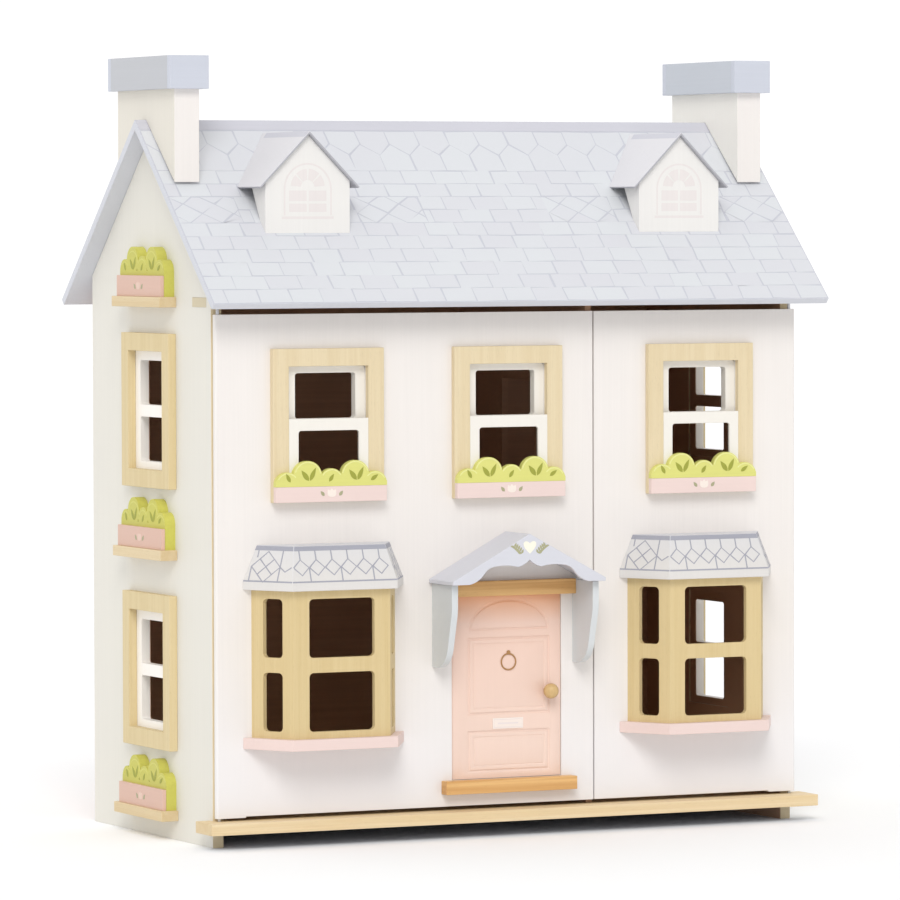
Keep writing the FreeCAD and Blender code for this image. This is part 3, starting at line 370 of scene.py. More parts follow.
# the caps' side strips take darker copies of the cap paint, one for each chimney: painted shade
painted("cap_shaded_side_left", srgb(192, 194, 199), axis="y", tint=0.03)
painted("cap_shaded_side_right", srgb(197, 202, 210), axis="y", tint=0.03)
painted("canopy_blue", srgb(211, 212, 220), axis="x", tint=0.025)
painted("bracket_grey", srgb(212, 216, 218), axis="z", tint=0.025)
painted("ink", INK, axis="x", tint=0.06)
# side faces of the stacks: a darker copy of the white on the left stack, painted shade, and a lighter one
# on the right, painted light
two_tone("stack_left_shaded_sides", WHITE, srgb(228, 223, 212), "x")
two_tone("stack_right_lit_sides", WHITE, srgb(241, 238, 231), "x")
painted("dormer_paint", srgb(233, 231, 228))
painted("cream", srgb(243, 240, 224), tint=0.02)
painted("petal", srgb(242, 230, 220), tint=0.02)
painted("sage", srgb(170, 168, 134), tint=0.08)
painted("blush", srgb(229, 223, 221), tint=0.03)
painted("letter_line", srgb(234, 223, 220), tint=0.03)
two_tone("bay_slate", srgb(219, 216, 213), srgb(213, 214, 219), "z", True)
painted("plate", srgb(243, 231, 223), axis="x", tint=0.02, rough=0.4)
painted("ring_brown", srgb(176, 132, 84), tint=0.1, rough=0.4)
metal("steel", (0.6, 0.6, 0.62, 1))


def tile_shade():
    """Printed slates: each tile takes a tint from its own colour attribute."""
    shade = Shade("tile_print")
    tint = shade.add("Attribute", attribute_name="tint")
    mottle = shade.noise((6, 6, 6), 4.0, 0.6)
    value = shade.blend(tint.outputs["Fac"], mottle, 0.7)
    base = shade.mix(shade.span(value, 0.1, 0.9), srgb(213, 214, 220), srgb(216, 219, 223))
    shade.bump(shade.noise(TOOTH, 2.0), 0.04)
    shade.finish(base, shade.span(mottle, 0.3, 0.7, 0.45, 0.58))


tile_shade()


# ---- mesh helpers -----------------------------------------------------------
PRINT = 0.12                                # usual thickness of a print
PRINT_STEP, PRINT_STEPS = 0.01, 7           # shapes of a print differ in thickness, in groups
PRINT_SUNK = 0.05                           # how far a print reaches into the board
STRIP_ROUND = 0.5                           # rounding of a modelled strip

def soften(piece, width):
    """Small rounded edges and clean shading on a board with sharp edges."""
    for polygon in piece.data.polygons:
        polygon.use_smooth = True
    if piece.data.attributes.get("custom_normal"):
        piece.data.attributes.remove(piece.data.attributes["custom_normal"])
    weld = piece.modifiers.new("weld", "WELD")
    weld.merge_threshold = WELD
    flat = piece.modifiers.new("flat", "DECIMATE")
    flat.decimate_type = "DISSOLVE"
    flat.angle_limit = math.radians(0.5)
    bevel = piece.modifiers.new("edge", "BEVEL")
    bevel.width = width * MM
    bevel.segments = 2
    bevel.limit_method = "ANGLE"
    bevel.angle_limit = math.radians(35)
    bevel.harden_normals = False
    shading = piece.modifiers.new("shading", "WEIGHTED_NORMAL")
    shading.keep_sharp = True


def add_piece(name, mesh, body, material):
    piece = bpy.data.objects.new(name, mesh)
    bpy.context.scene.collection.objects.link(piece)
    mesh.materials.clear()
    mesh.materials.append(SHADES[material])
    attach(piece, body)
    return piece


class Plane:
    """A flat face to print on: a point in mm and two directions along the face."""

    def __init__(self, origin, across, up):
        self.origin = Vector(origin)
        self.across = Vector(across).normalized()
        self.up = Vector(up).normalized()
        self.out = self.across.cross(self.up)

    def at(self, a, b, lift):
        return (self.origin + self.across * a + self.up * b + self.out * lift) * MM


def print_on(name, plane, outlines, body, material, thick=PRINT, tints=None):
    """One mesh of thin shapes printed on a plane."""
    mesh = bmesh.new()
    shades = []
    for index, outline in enumerate(outlines):
        lift = thick + PRINT_STEP * (index % PRINT_STEPS)
        top = [mesh.verts.new(plane.at(a, b, lift)) for a, b in outline]
        base = [mesh.verts.new(plane.at(a, b, -PRINT_SUNK)) for a, b in outline]
        faces = [mesh.faces.new(top), mesh.faces.new(base[::-1])]
        count = len(outline)
        for k in range(count):
            n = (k + 1) % count
            faces.append(mesh.faces.new((top[n], top[k], base[k], base[n])))
        shades.extend([tints[index] if tints else 0.5] * len(faces))
    mesh.faces.ensure_lookup_table()
    bmesh.ops.recalc_face_normals(mesh, faces=mesh.faces)
    data = bpy.data.meshes.new(name)
    mesh.to_mesh(data)
    mesh.free()
    layer = data.attributes.new("tint", "FLOAT", "FACE")
    layer.data.foreach_set("value", shades)
    return add_piece(name, data, body, material)


def ribbon(points, width):
    """Outline of a drawn line of a given width through points."""
    left = []
    right = []
    for index, (a, b) in enumerate(points):
        before = Vector(points[max(index - 1, 0)])
        after = Vector(points[min(index + 1, len(points) - 1)])
        way = (after - before).normalized()
        side = Vector((-way.y, way.x)) * width / 2
        left.append((a + side.x, b + side.y))
        right.append((a - side.x, b - side.y))
    return left + right[::-1]


def arc(a, b, radius_a, radius_b, start, end, steps):
    return [(a + radius_a * math.cos(math.radians(start + (end - start) * k / steps)),
             b + radius_b * math.sin(math.radians(start + (end - start) * k / steps)))
            for k in range(steps + 1)]


def leaf(a, b, length, width, angle):
    """Pointed leaf that starts at a point and grows at an angle."""
    turn = math.radians(angle)
    outline = []
    for side in (1, -1):
        for k in range(7):
            share = k / 6 if side > 0 else 1 - k / 6
            if side < 0 and k in (0, 6):
                continue
            run = share * length
            off = math.sin(math.pi * share ** 0.8) * width / 2 * side
            outline.append((a + run * math.cos(turn) - off * math.sin(turn),
                            b + run * math.sin(turn) + off * math.cos(turn)))
    return outline


def evaluated(piece):
    """Replaces a piece's mesh by its mesh with the modifiers applied."""
    graph = bpy.context.evaluated_depsgraph_get()
    data = bpy.data.meshes.new_from_object(piece.evaluated_get(graph))
    piece.modifiers.clear()
    piece.data = data


def board(name, corner_low, corner_high, body, material):
    """Board with rounded edges between two corners."""
    mesh = bmesh.new()
    bmesh.ops.create_cube(mesh, size=1)
    for vert in mesh.verts:
        vert.co = Vector([(lo if part < 0 else hi) * MM
                          for part, lo, hi in zip(vert.co, corner_low, corner_high)])
    bmesh.ops.bevel(mesh, geom=mesh.edges[:], offset=STRIP_ROUND * MM, segments=3, profile=0.6,
                    affect="EDGES")
    bmesh.ops.recalc_face_normals(mesh, faces=mesh.faces)
    data = bpy.data.meshes.new(name)
    mesh.to_mesh(data)
    mesh.free()
    for polygon in data.polygons:
        polygon.use_smooth = True
    piece = add_piece(name, data, body, material)
    piece.modifiers.new("shading", "WEIGHTED_NORMAL")
    return piece


# ---- CAD nodes: materials and softened edges --------------------------------
BOARD_EDGE, SMALL_EDGE = 0.45, 0.25         # rounding of boards, and of pins and plates
NODE_SHADES = (                             # the first key found in a node's name counts
    ("side_wall", "wall_paint"), ("front_panel", "panel_paint"), ("attic_floor", "attic_paint"),
    ("back_panel", "brown_board"), ("first_floor", "brown_board"), ("partition", "brown_board"),
    ("staircase", "brown_board"), ("base_floor", "pine_long"), ("hinge_pins", "steel"),
    # the side planters take the darker copies of green and pink: painted shade
    ("t_planter_foliage", "green_side_shaded"), ("t_planter_boxes", "pink_side_shaded"), ("foliage", "green"),
    ("_box", "pink"), ("bay_sill", "pink"), ("letter_plate", "plate"), ("door_lintel", "honey"),
    ("door_step", "honey"), ("door_knob", "knob_wood"), ("canopy_brackets", "bracket_grey"),
    ("canopy", "canopy_blue"), ("t_window_sashes", "side_sash_paint"), ("sash", "sash_paint"),
    ("shelves", "pine_deep"),
    ("roof_cleats", "pine_long"), ("bay_roof", "bay_slate"), ("bay_window", "pine_bay"),
    ("t_window_frames", "pine_side"), ("window_", "pine"),
    ("left_shaft", "stack_left_shaded_sides"), ("right_shaft", "stack_right_lit_sides"), ("cap", "cap_shaded_side_left"),
    ("roof_front", "slate_board"), ("roof_back", "slate_board"),
    ("_roof", "dormer_slate"), ("dormer", "dormer_paint"), ("door_leaf", "door_pink"))


def finish_nodes():
    for name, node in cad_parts.items():
        material = next(shade for key, shade in NODE_SHADES if key in name)
        node.data.materials.clear()
        node.data.materials.append(SHADES[material])
        soften(node, SMALL_EDGE if "pins" in name or "plate" in name else BOARD_EDGE)


# ---- roof print -------------------------------------------------------------
STRIP = 13.0                                # height of the plain strip along the ridge
DIAMOND = 52.0                              # height of the band of pointed slates under it
POINT_UP, POINT_DOWN = 9, 5                 # how far their points lie above and below its middle
COURSE = 16.6                               # height of a course of slates
TILE = 29.3                                 # usual width of a slate
SMALLEST = 4                                # narrower slates are left out
GAP = 1.1                                   # width of a joint
GAP_SHARE = 0.62                            # part of it that each corner of a slate gives up
JITTER = 0.7                                # how far a corner may stray
DORMER_X = 181.2                            # middle of a dormer
PATCH_X = 88                                # distance from there to a patch of diamonds
PATCH_HALF = TILE * 1.1                     # half width of a patch
PATCH_ROWS = (2, 3)                         # courses that a patch replaces


def jitter(point, amount):
    return (point[0] + random.uniform(-amount, amount), point[1] + random.uniform(-amount, amount))


def shrink(outline, gap):
    """Pull an outline in towards its middle by half a gap."""
    middle = Vector((sum(p[0] for p in outline), sum(p[1] for p in outline))) / len(outline)
    made = []
    for point in outline:
        way = middle - Vector(point)
        made.append(tuple(Vector(point) + way.normalized() * gap * GAP_SHARE))
    return made


def clip(outline, part, low_limit, high_limit):
    """Cut an outline to a band between two values of its first or second coordinate."""
    for limit, sign in ((low_limit, 1), (high_limit, -1)):
        kept = []
        for index, point in enumerate(outline):
            after = outline[(index + 1) % len(outline)]
            inside = (point[part] - limit) * sign >= 0
            if inside:
                kept.append(point)
            if inside != ((after[part] - limit) * sign >= 0):
                share = (limit - point[part]) / (after[part] - point[part])
                kept.append(tuple(p + (q - p) * share for p, q in zip(point, after)))
        outline = kept
        if len(outline) < 3:
            return None
    return outline


def fill_diamonds(a0, a1, b0, b1):
    """Diamonds that fill a rectangle of the roof print."""
    made = []
    half_a, half_b = TILE / 2, COURSE * 0.72
    rows = int((b1 - b0) / half_b) + 2
    columns = int((a1 - a0) / half_a) + 2
    for row in range(-1, rows):
        for column in range(-1, columns):
            if (row + column) % 2:
                continue
            a, b = a0 + column * half_a, b0 + row * half_b
            shape = [(a - half_a, b), (a, b + half_b), (a + half_a, b), (a, b - half_b)]
            shape = clip(shape, 0, a0, a1)
            shape = shape and clip(shape, 1, b0, b1)
            if shape:
                made.append(shape)
    return made


def roof_print(side, plane, slope_length):
    """Slate courses with a diamond band under the ridge strip."""
    outlines = []
    top = STRIP + 1.0
    mid = top + DIAMOND / 2
    count = int(ROOF_HALF * 2 / TILE) + 2
    for k in range(-1, count):
        a = -ROOF_HALF + k * TILE
        first = [(a, -top), (a + TILE, -top), (a + TILE, -(mid - POINT_UP)),
                 (a + TILE / 2, -(mid + POINT_DOWN)), (a, -(mid - POINT_UP))]
        b = a + TILE / 2
        second = [(b, -(mid + POINT_DOWN)), (b + TILE / 2, -(mid - POINT_UP)),
                  (b + TILE, -(mid + POINT_DOWN)),
                  (b + TILE, -(top + DIAMOND)), (b, -(top + DIAMOND))]
        outlines.extend([first, second])
    row = 0
    start = top + DIAMOND
    gaps = [(centre + way * PATCH_X - PATCH_HALF, centre + way * PATCH_X + PATCH_HALF)
            for centre in (-DORMER_X, DORMER_X) for way in (-1, 1)]
    while start < slope_length - 2:
        end = min(start + COURSE, slope_length - 0.4)
        free = [(-ROOF_HALF, ROOF_HALF)]
        if row in PATCH_ROWS:
            edges = [-ROOF_HALF] + [edge for gap in gaps for edge in gap] + [ROOF_HALF]
            free = list(zip(edges[0::2], edges[1::2]))
        a = -ROOF_HALF - TILE * (0.5 if row % 2 else 0.12)
        while a < ROOF_HALF:
            wide = TILE * random.uniform(0.92, 1.08)
            for free_low, free_high in free:
                tile = clip([(a, -start), (a + wide, -start), (a + wide, -end), (a, -end)], 0,
                            free_low, free_high)
                if tile and max(p[0] for p in tile) - min(p[0] for p in tile) > SMALLEST:
                    outlines.append(tile)
            a += wide
        if row == PATCH_ROWS[0]:
            for gap in gaps:
                outlines.extend(fill_diamonds(gap[0], gap[1], -(start + 2 * COURSE), -start))
        start = end
        row += 1
    shapes = []
    for outline in outlines:
        outline = clip([jitter(point, JITTER) for point in shrink(outline, GAP)], 0,
                       -ROOF_HALF + 1.2, ROOF_HALF - 1.2)
        if outline:
            shapes.append(outline)
    print_on("roof_tiles_" + side, plane, shapes, "roof", "tile_print", 0.1,
             [random.random() for _ in shapes])
    band = [(-ROOF_HALF + 0.8, -0.8), (ROOF_HALF - 0.8, -0.8), (ROOF_HALF - 0.8, -STRIP),
            (-ROOF_HALF + 0.8, -STRIP)]
    print_on("roof_ridge_strip_" + side, plane, [band], "roof", "slate_strip", 0.15)


def dress_roof():
    run = RIDGE.y - EAVE_FRONT
    rise = RIDGE.z - EAVE_TOP
    length = math.hypot(run, rise)
    front = Plane(RIDGE, (1, 0, 0), (0, run, rise))
    back = Plane(RIDGE, (-1, 0, 0), (0, -run, rise))
    roof_print("front", front, length)
    roof_print("back", back, length)


# ---- dormers ----------------------------------------------------------------
def dress_dormer(side):
    node = "dormer_" + side
    centre = (low(node).x + high(node).x) / 2
    plane = Plane((centre, low(node).y, low(node).z), (1, 0, 0), (0, 0, 1))
    half, foot, spring = 22.0, 13.5, 38.0
    bar = 1.1
    glass = half - 4.4

    def fan(start, end):
        """One pane of the fan light above the springing line."""
        inner = arc(0, spring + 1.6, 6.5, 6.5, end, start, 6)
        outer = arc(0, spring + 1.6, glass - 1.5, glass - 1.5, start, end, 10)
        return outer + inner

    shapes = []
    for hand in (-1, 1):
        near, far = sorted((hand * bar, hand * glass))
        middle = (foot + spring) / 2 + 1
        shapes.append([(near, foot + 5), (far, foot + 5), (far, middle - bar), (near, middle - bar)])
        shapes.append([(near, middle + bar), (far, middle + bar), (far, spring - bar),
                       (near, spring - bar)])
    for start, end in ((5, 42), (48, 86), (94, 132), (138, 175)):
        shapes.append(fan(start, end))
    reach = half
    edge = [(-reach, foot + 2)] + arc(0, spring, reach, reach, 180, 0, 24) + [(reach, foot + 2)]
    shapes.append(ribbon(edge, 1.5))
    shapes.append(ribbon([(-half - 2.5, foot), (half + 2.5, foot)], 2.2))
    print_on("dormer_window_" + side, plane, shapes, "roof", "blush", 0.12)
    roof = "dormer_%s_roof" % side
    top = high(roof).z
    depth = high(roof).y - low(roof).y
    reach = (high(roof).x - low(roof).x) / 2
    rise = (top - low(roof).z) / reach
    for hand, tag in ((-1, "a"), (1, "b")):
        face = Plane((centre, low(roof).y, top), (0, hand, 0), (-hand, 0, rise))
        strip = [(0.6, -0.6), (depth - 9, -0.6), (depth - 12, -6.8), (0.6, -6.8)]
        strip = [(a * hand, b) for a, b in strip]
        print_on("dormer_strip_%s_%s" % (side, tag), face, [strip], "roof", "slate_strip",
                 0.12)


# ---- bay roofs --------------------------------------------------------------
BAY_FRONT_HALF = 45.5                       # half width of the bay at its front
BAY_ROOF_SET = -4.6                         # how far the roof's top lies inside the bay
BAY_FASCIA = 6.7                            # height of the straight rim of a bay roof
LEAD = 1.1                                  # thickness of the printed lines


def diamond(a, b, half_a, half_b):
    return ribbon([(a - half_a, b), (a, b + half_b), (a + half_a, b), (a, b - half_b),
                   (a - half_a + 0.3, b - 0.3)], LEAD)


def front_lattice(height):
    """Hanging slates with diamonds between their tips, and joints under every second tip."""
    drawn = []
    row = height * 0.42
    half_a, half_b = 7.2, height * 0.21
    pitch = 14.9
    for k in range(6):
        a = -39.0 + pitch * k
        drawn.append(diamond(a, row, half_a, half_b))
        drawn.append(ribbon([(a, row + half_b), (a, height - 4)], LEAD))
        if k % 2 == 0:
            drawn.append(ribbon([(a + pitch / 2, row), (a + pitch / 2, 1.5)], LEAD))
    return drawn


def side_lattice(hand, height):
    """Four diamonds in a group, a joint beside them and the tip of the slate at the corner."""
    drawn = []
    row = height * 0.43
    half_a, half_b = 7.5, height * 0.205
    middle = 5.2 * hand
    for a, b in ((0, half_b), (-half_a, 0), (half_a, 0), (0, -half_b)):
        drawn.append(diamond(middle + a, row + b, half_a, half_b))
    near = middle - half_a * 2 * hand
    far = middle + half_a * 2 * hand
    drawn.append(ribbon([(near, height - 4), (near, 1.5)], LEAD))
    drawn.append(ribbon([(far, row), (far, 1.5)], LEAD))
    drawn.append(ribbon([(middle + half_a * 1.4 * hand, row + half_b * 1.2),
                         (middle + half_a * 1.4 * hand, height - 4)], LEAD))
    drawn.append(ribbon([(near, row), (near - 6 * hand, row - half_b * 0.6),
                         (near - 12 * hand, row)], LEAD))
    return drawn


def dress_bay_roof(side):
    node = "bay_roof_" + side
    body = "front_" + side
    centre = (low(node).x + high(node).x) / 2
    rim, top = low(node).z + BAY_FASCIA, high(node).z
    sill = "bay_window_" + side
    lip = (high(node).x - low(node).x) / 2 - (high(sill).x - low(sill).x) / 2
    wall = (high(sill).x - low(sill).x) / 2
    taper = wall - BAY_FRONT_HALF
    deep = FACE - low(sill).y
    lean = math.hypot(taper, deep)
    lip = lip * deep / lean

    def corners(offset, level):
        """Front corner and panel corner of the plan moved out by an offset, on the + side."""
        reach = deep + offset
        front = wall + (lean * offset - taper * reach) / deep
        back = wall + lean * offset / deep
        return Vector((front, FACE - reach, level)), Vector((back, FACE, level))

    low_front, low_back = corners(lip, rim)
    high_front, high_back = corners(BAY_ROOF_SET, top)
    for hand, tag in ((-1, "a"), (0, "front"), (1, "b")):
        if hand:
            flip = Vector((hand, 1, 1))
            a, b, c, d = (point * flip for point in (low_front, low_back, high_front, high_back))
            if hand < 0:
                a, b, c, d = b, a, d, c
        else:
            turned = Vector((-1, 1, 1))
            a, b, c, d = low_front * turned, low_front, high_front * turned, high_front
        move = Vector((centre, 0, 0))
        middle, upper = (a + b) / 2, (c + d) / 2
        across = (b - a).normalized()
        up = upper - middle
        skew = up.dot(across)
        up = up - across * skew
        face = Plane(middle + move, across, up)
        half_low, half_high = (b - a).length / 2, (d - c).length / 2
        height = up.length
        drawn = side_lattice(hand, height) if hand else front_lattice(height)
        drawn = [[(p + skew * q / height, q) for p, q in shape] for shape in drawn]
        drawn.append(ribbon([(-half_low + 0.6, 1.2), (half_low - 0.6, 1.2)], LEAD * 1.2))
        strip_low = half_high + (half_low - half_high) * 4.4 / height - 0.3
        drawn.append([(skew - half_high + 0.3, height - 0.4), (skew + half_high - 0.3, height - 0.4),
                      (skew * (height - 4.4) / height + strip_low, height - 4.4),
                      (skew * (height - 4.4) / height - strip_low, height - 4.4)])
        name = "bay_lattice_%s_%s" % (tag, side) if hand else "bay_lattice_front_" + side
        print_on(name, face, drawn, body, "ink", 0.12)


# ---- planters ---------------------------------------------------------------
SHELF_ATTIC, SHELF_UPPER, SHELF_LOWER = 471.2, 252.0, 25.8
SIDE_BOX = 18.3                             # height of the box front on a side wall


def dress_foliage(name, plane, scale, body):
    """Leaf marks and pale rims of one foliage board."""
    marks = []
    for a in (-22.5, 22.5):
        marks.append(leaf(a + 1.0, 5, 11.5, 4.4, 128))
        marks.append(leaf(a + 2.0, 5, 12.5, 4.0, 64))
    marks.append(leaf(-2.5, 4, 8, 3.2, 55))
    marks.append(leaf(-39, 4, 8.5, 3.4, 118))
    marks.append(leaf(37, 4.5, 8.5, 3.4, 35))
    marks = [[(a * scale, b) for a, b in mark] for mark in marks]
    print_on(name + "_leaves", plane, marks, body, "leaf", 0.14)
    rims = []
    for a, b, radius, start, end in ((-22.5, 8.5, 13.5, 12, 162), (22.5, 8.5, 13.5, 18, 168),
                                     (0, 4.3, 11, 32, 148), (-41.3, 1.3, 11.2, 42, 150),
                                     (41.3, 1.3, 11.2, 30, 138)):
        rims.append(ribbon(arc(a * scale, b, radius - 1.1, radius - 1.1, start, end, 14), 1.1))
    # the side planters' rims take a darker copy of the rim colour: painted shade
    print_on(name + "_rims", plane, rims, body, "rim_side_shaded" if body == "house" else "rim",
             0.12)


def dress_planters():
    for index, body in ((1, "front_left"), (2, "front_left"), (3, "front_right")):
        node = "planter_%d_foliage" % index
        centre = (low(node).x + high(node).x) / 2
        front = low(node).y
        plane = Plane((centre, front, low(node).z), (1, 0, 0), (0, 0, 1))
        dress_foliage("planter_%d" % index, plane, 1.0, body)
        face = Plane((centre, front, low("planter_%d_box" % index).z + 6.8), (1, 0, 0), (0, 0, 1))
        petals = [leaf(0, -2.5, 7.5, 5.0, angle) for angle in (60, 90, 120)]
        print_on("planter_%d_flower" % index, face, petals, body, "petal", 0.16)
        sprigs = [leaf(-7, -1.5, 5.5, 3.0, 130), leaf(7, -1.5, 5.5, 3.0, 50)]
        print_on("planter_%d_sprig" % index, face, sprigs, body, "sage", 0.13)


def dress_side_planters():
    for side, sign in (("left", -1), ("right", 1)):
        leaves, boxes = side + "_planter_foliage", side + "_planter_boxes"
        middle = (low(boxes).y + high(boxes).y) / 2
        reach = max(abs(low(leaves).x), abs(high(leaves).x))
        box_reach = max(abs(low(boxes).x), abs(high(boxes).x))
        for level, base in (("attic", SHELF_ATTIC), ("upper", SHELF_UPPER), ("lower", SHELF_LOWER)):
            name = "%s_%s_planter" % (side, level)
            plane = Plane((sign * reach, middle, base + SIDE_BOX), (0, sign, 0), (0, 0, 1))
            dress_foliage(name, plane, 0.93, "house")
            face = Plane((sign * box_reach, middle, base + 8.5), (0, sign, 0), (0, 0, 1))
            petals = [leaf(0, -2.5, 7.5, 5.0, angle) for angle in (60, 90, 120)]
            # a darker copy of the petal colour: painted shade
            print_on(name + "_flower", face, petals, "house", "petal_side_shaded", 0.16)
            sprigs = [leaf(-6, -2, 6, 3.2, 130), leaf(6, -2, 6, 3.2, 50)]
            print_on(name + "_sprig", face, sprigs, "house", "sage", 0.13)


# ---- canopy -----------------------------------------------------------------
def dress_canopy():
    node = "canopy_fascia"
    centre = (low(node).x + high(node).x) / 2
    plane = Plane((centre, low(node).y, 252.5), (1, 0, 0), (0, 0, 1))
    heart = []
    for k in range(28):
        turn = math.radians(360 * k / 28)
        heart.append((6.2 * math.sin(turn) ** 3,
                      5.2 * math.cos(turn) - 2.1 * math.cos(2 * turn) - 0.9 * math.cos(3 * turn) + 2.0))
    print_on("canopy_heart", plane, [heart], "front_left", "cream", 0.1)
    sprigs = []
    for hand in (-1, 1):
        stem = [(hand * (8 + k * 1.7), -4 + k * 1.9 - k * k * 0.12) for k in range(6)]
        sprigs.append(ribbon(stem, 0.7))
        for k in range(5):
            a, b = stem[k]
            angle = 60 if hand > 0 else 120
            sprigs.append(leaf(a, b, 4.2, 2.0, angle + 55 * hand))
            sprigs.append(leaf(a, b, 4.2, 2.0, angle - 45 * hand))
    print_on("canopy_sprigs", plane, sprigs, "front_left", "sage", 0.06)


# ---- front door -------------------------------------------------------------
def tube_cutter(points, radius):
    """Closed round bar through points, used to cut a groove."""
    curve = bpy.data.curves.new("groove", "CURVE")
    curve.dimensions = "3D"
    curve.bevel_depth = radius * MM
    curve.bevel_resolution = 3
    spline = curve.splines.new("POLY")
    spline.points.add(len(points) - 1)
    for point, place in zip(spline.points, points):
        point.co = (*[part * MM for part in place], 1)
    spline.use_cyclic_u = True
    cutter = bpy.data.objects.new("groove", curve)
    bpy.context.scene.collection.objects.link(cutter)
    graph = bpy.context.evaluated_depsgraph_get()
    mesh = bpy.data.meshes.new_from_object(cutter.evaluated_get(graph))
    bpy.data.objects.remove(cutter)
    made = bpy.data.objects.new("groove_mesh", mesh)
    bpy.context.scene.collection.objects.link(made)
    return made


def door_leaf():
    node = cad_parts["door_leaf"]
    front = low("door_leaf").y
    mesh = node.data.copy()
    mesh.name = "door_leaf_look"
    leaf_piece = add_piece("door_leaf_look", mesh, "front_door", "door_pink")
    weld = leaf_piece.modifiers.new("weld", "WELD")
    weld.merge_threshold = WELD
    left, right = low("door_leaf").x + 16.6, high("door_leaf").x - 11.6
    centre = (left + right) / 2
    rise = 180.2
    wide = (right - left) / 2 - 1.0
    shy = front - 0.9                       # a groove's centre stands in front of the door
    cutters = []

    def rectangle(z0, z1, inset):
        return [(left + inset, shy, z0 + inset), (right - inset, shy, z0 + inset),
                (right - inset, shy, z1 - inset), (left + inset, shy, z1 - inset)]

    fan = [(a, shy, b) for a, b in arc(centre, rise, wide, 25.0, 0, 180, 20)]
    for points, radius in ((fan, 1.9), (rectangle(106.5, 172.0, 0), 2.1), (rectangle(56.5, 90.5, 0), 2.1),
                           (rectangle(106.5, 172.0, 4.6), 1.4), (rectangle(56.5, 90.5, 4.6), 1.4)):
        cutters.append(tube_cutter(points, radius))
    for cutter in cutters:
        cut = leaf_piece.modifiers.new("groove", "BOOLEAN")
        cut.operation = "DIFFERENCE"
        cut.solver = "EXACT"
        cut.object = cutter
    bpy.context.view_layer.update()
    evaluated(leaf_piece)
    leaf_piece.data.materials.clear()
    leaf_piece.data.materials.append(SHADES["door_pink"])
    for cutter in cutters:
        bpy.data.objects.remove(cutter)
    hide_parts("door_leaf")
    edge = leaf_piece.modifiers.new("edge", "BEVEL")
    edge.width = 0.35 * MM
    edge.segments = 2
    edge.limit_method = "ANGLE"
    edge.angle_limit = math.radians(50)


def ring(name, centre, radius, tube, body, material):
    """Round ring that lies flat against the door."""
    mesh = bmesh.new()
    turns, sides = 40, 10
    loops = []
    for k in range(turns):
        turn = 2 * math.pi * k / turns
        loop = []
        for s in range(sides):
            roll = 2 * math.pi * s / sides
            reach = radius + tube * math.cos(roll)
            loop.append(mesh.verts.new(((centre[0] + reach * math.sin(turn)) * MM,
                                        (centre[1] - tube * 0.7 * math.sin(roll)) * MM,
                                        (centre[2] + reach * math.cos(turn)) * MM)))
        loops.append(loop)
    for k in range(turns):
        for s in range(sides):
            mesh.faces.new((loops[k][s], loops[(k + 1) % turns][s],
                            loops[(k + 1) % turns][(s + 1) % sides], loops[k][(s + 1) % sides]))
    bmesh.ops.recalc_face_normals(mesh, faces=mesh.faces)
    data = bpy.data.meshes.new(name)
    mesh.to_mesh(data)
    mesh.free()
    for polygon in data.polygons:
        polygon.use_smooth = True
    return add_piece(name, data, body, material)


def dress_door():
    door_leaf()
    front = low("door_leaf").y
    across = low("door_leaf").x + 55.0
    ring("door_knocker", (across, front - 0.45, 151.2), 7.0, 0.7, "front_door", "ring_brown")
    plane = Plane((across, front, 158.2), (1, 0, 0), (0, 0, 1))
    stud = [(1.7 * math.cos(math.radians(30 * k)), 1.9 * math.sin(math.radians(30 * k)) + 1.2)
            for k in range(12)]
    print_on("door_knocker_stud", plane, [stud], "front_door", "ring_brown", 1.1)
    plate = Plane((low("letter_plate").x, low("letter_plate").y, low("letter_plate").z),
                  (1, 0, 0), (0, 0, 1))
    wide = high("letter_plate").x - low("letter_plate").x
    tall = high("letter_plate").z - low("letter_plate").z
    slot_lines = [ribbon([(5, tall / 2), (wide - 5, tall / 2)], 1.4)]
    frame_line = [ribbon([(1.4, 1.4), (wide - 1.4, 1.4), (wide - 1.4, tall - 1.4), (1.4, tall - 1.4),
                          (1.4, 1.6)], 0.5)]
    print_on("letter_slot", plate, slot_lines + frame_line, "front_door", "letter_line", 0.1)


# ---- chimneys ---------------------------------------------------------------
def dress_chimney(side):
    cap = "chimney_%s_cap" % side
    body = "chimney_" + side
    lo, hi = low(cap), high(cap)
    strip = 6.5
    board(cap + "_front", lo, (hi.x, lo.y + strip, hi.z), body, "cap_front")
    board(cap + "_back", (lo.x, hi.y - strip, lo.z), hi, body, "cap_front")
    # the side strips get their chimney's darker copy of the cap paint: painted shade
    for tag, x0, x1 in (("outer" if side == "left" else "inner", lo.x, lo.x + strip),
                        ("inner" if side == "left" else "outer", hi.x - strip, hi.x)):
        board("%s_%s" % (cap, tag), (x0, lo.y + strip, lo.z), (x1, hi.y - strip, hi.z),
                          body, "cap_shaded_side_" + side)
    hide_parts(cap)


# ---- stage, light and camera ------------------------------------------------
def make_stage():
    mesh = bmesh.new()
    bmesh.ops.create_grid(mesh, x_segments=8, y_segments=8, size=14)
    data = bpy.data.meshes.new("floor")
    mesh.to_mesh(data)
    mesh.free()
    floor = bpy.data.objects.new("floor", data)
    bpy.context.scene.collection.objects.link(floor)
    shade = Shade("floor_paper")
    cloud = shade.noise((400, 400, 400), 2.0)
    shade.finish(shade.mix(cloud, (0.965, 0.97, 0.98, 1), (0.975, 0.98, 0.99, 1)), 0.9, 0.0)
    data.materials.append(SHADES["floor_paper"])


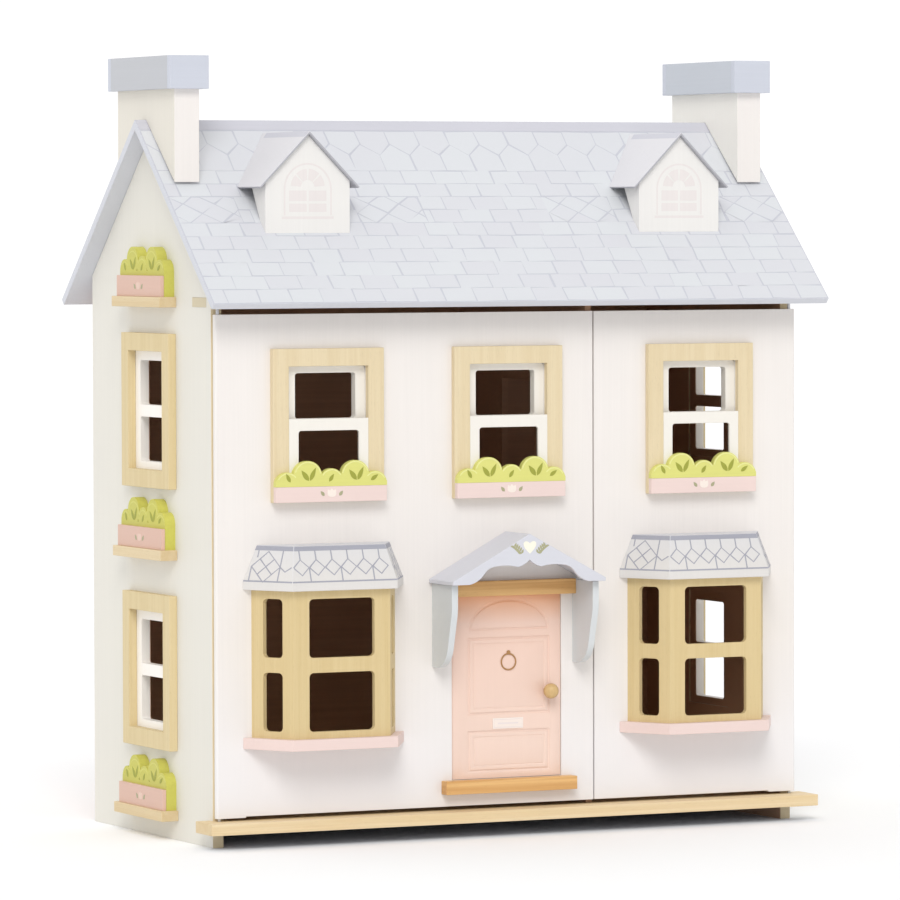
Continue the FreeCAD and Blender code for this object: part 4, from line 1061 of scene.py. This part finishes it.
SKY_FRONT = 0.66                            # brightness of the room in front of the house
SKY_BACK = 1.06                             # and behind it
KEY_POWER = 1.35
KEY_SPREAD = 28                             # degrees
KEY_FROM = (-0.35, -0.7, 0.62)
CAMERA_TURN = (0.4501, 0.0385, -0.0027)     # yaw, pitch and roll in radians
CAMERA_PLACE = (-2333.4, -4834.4, 538.7)
CAMERA_LENS = 240.85


def make_light():
    """White room that is a little brighter behind the house, and a soft key from the front left."""
    world = bpy.data.worlds.new("studio")
    bpy.context.scene.world = world
    world.use_nodes = True
    tree = world.node_tree
    coords = tree.nodes.new("ShaderNodeTexCoord")
    parts = tree.nodes.new("ShaderNodeSeparateXYZ")
    span = tree.nodes.new("ShaderNodeMapRange")
    tree.links.new(coords.outputs["Generated"], parts.inputs[0])
    tree.links.new(parts.outputs[1], span.inputs["Value"])
    for socket, value in (("From Min", -0.3), ("From Max", 0.6), ("To Min", SKY_FRONT),
                          ("To Max", SKY_BACK)):
        span.inputs[socket].default_value = value
    tree.links.new(span.outputs[0], tree.nodes["Background"].inputs["Strength"])
    tree.nodes["Background"].inputs["Color"].default_value = (1, 1, 1, 1)
    sun = bpy.data.lights.new("key", "SUN")
    sun.energy = KEY_POWER
    sun.angle = math.radians(KEY_SPREAD)
    sun.color = (1, 0.985, 0.965)
    holder = bpy.data.objects.new("key", sun)
    holder.rotation_mode = "QUATERNION"
    holder.rotation_quaternion = Vector(KEY_FROM).to_track_quat("Z", "Y")
    bpy.context.scene.collection.objects.link(holder)
    bpy.context.scene.view_settings.view_transform = "Standard"


def make_camera():
    yaw, pitch, roll = CAMERA_TURN
    forward = Vector((math.sin(yaw) * math.cos(pitch), math.cos(yaw) * math.cos(pitch),
                      -math.sin(pitch)))
    right = Vector((math.cos(yaw), -math.sin(yaw), 0))
    up = right.cross(forward)
    across = right * math.cos(roll) + up * math.sin(roll)
    upward = up * math.cos(roll) - right * math.sin(roll)
    data = bpy.data.cameras.new("camera")
    data.lens = CAMERA_LENS
    data.sensor_width = 36
    data.clip_end = 60
    camera = bpy.data.objects.new("camera", data)
    matrix = Matrix((across, upward, -forward)).transposed().to_4x4()
    matrix.translation = Vector(CAMERA_PLACE) * MM
    camera.matrix_world = matrix
    bpy.context.scene.collection.objects.link(camera)
    bpy.context.scene.camera = camera


finish_nodes()
dress_roof()
for hand in ("left", "right"):
    dress_dormer(hand)
    dress_bay_roof(hand)
    dress_chimney(hand)
dress_planters()
dress_side_planters()
dress_canopy()
dress_door()
make_stage()
make_light()
make_camera()
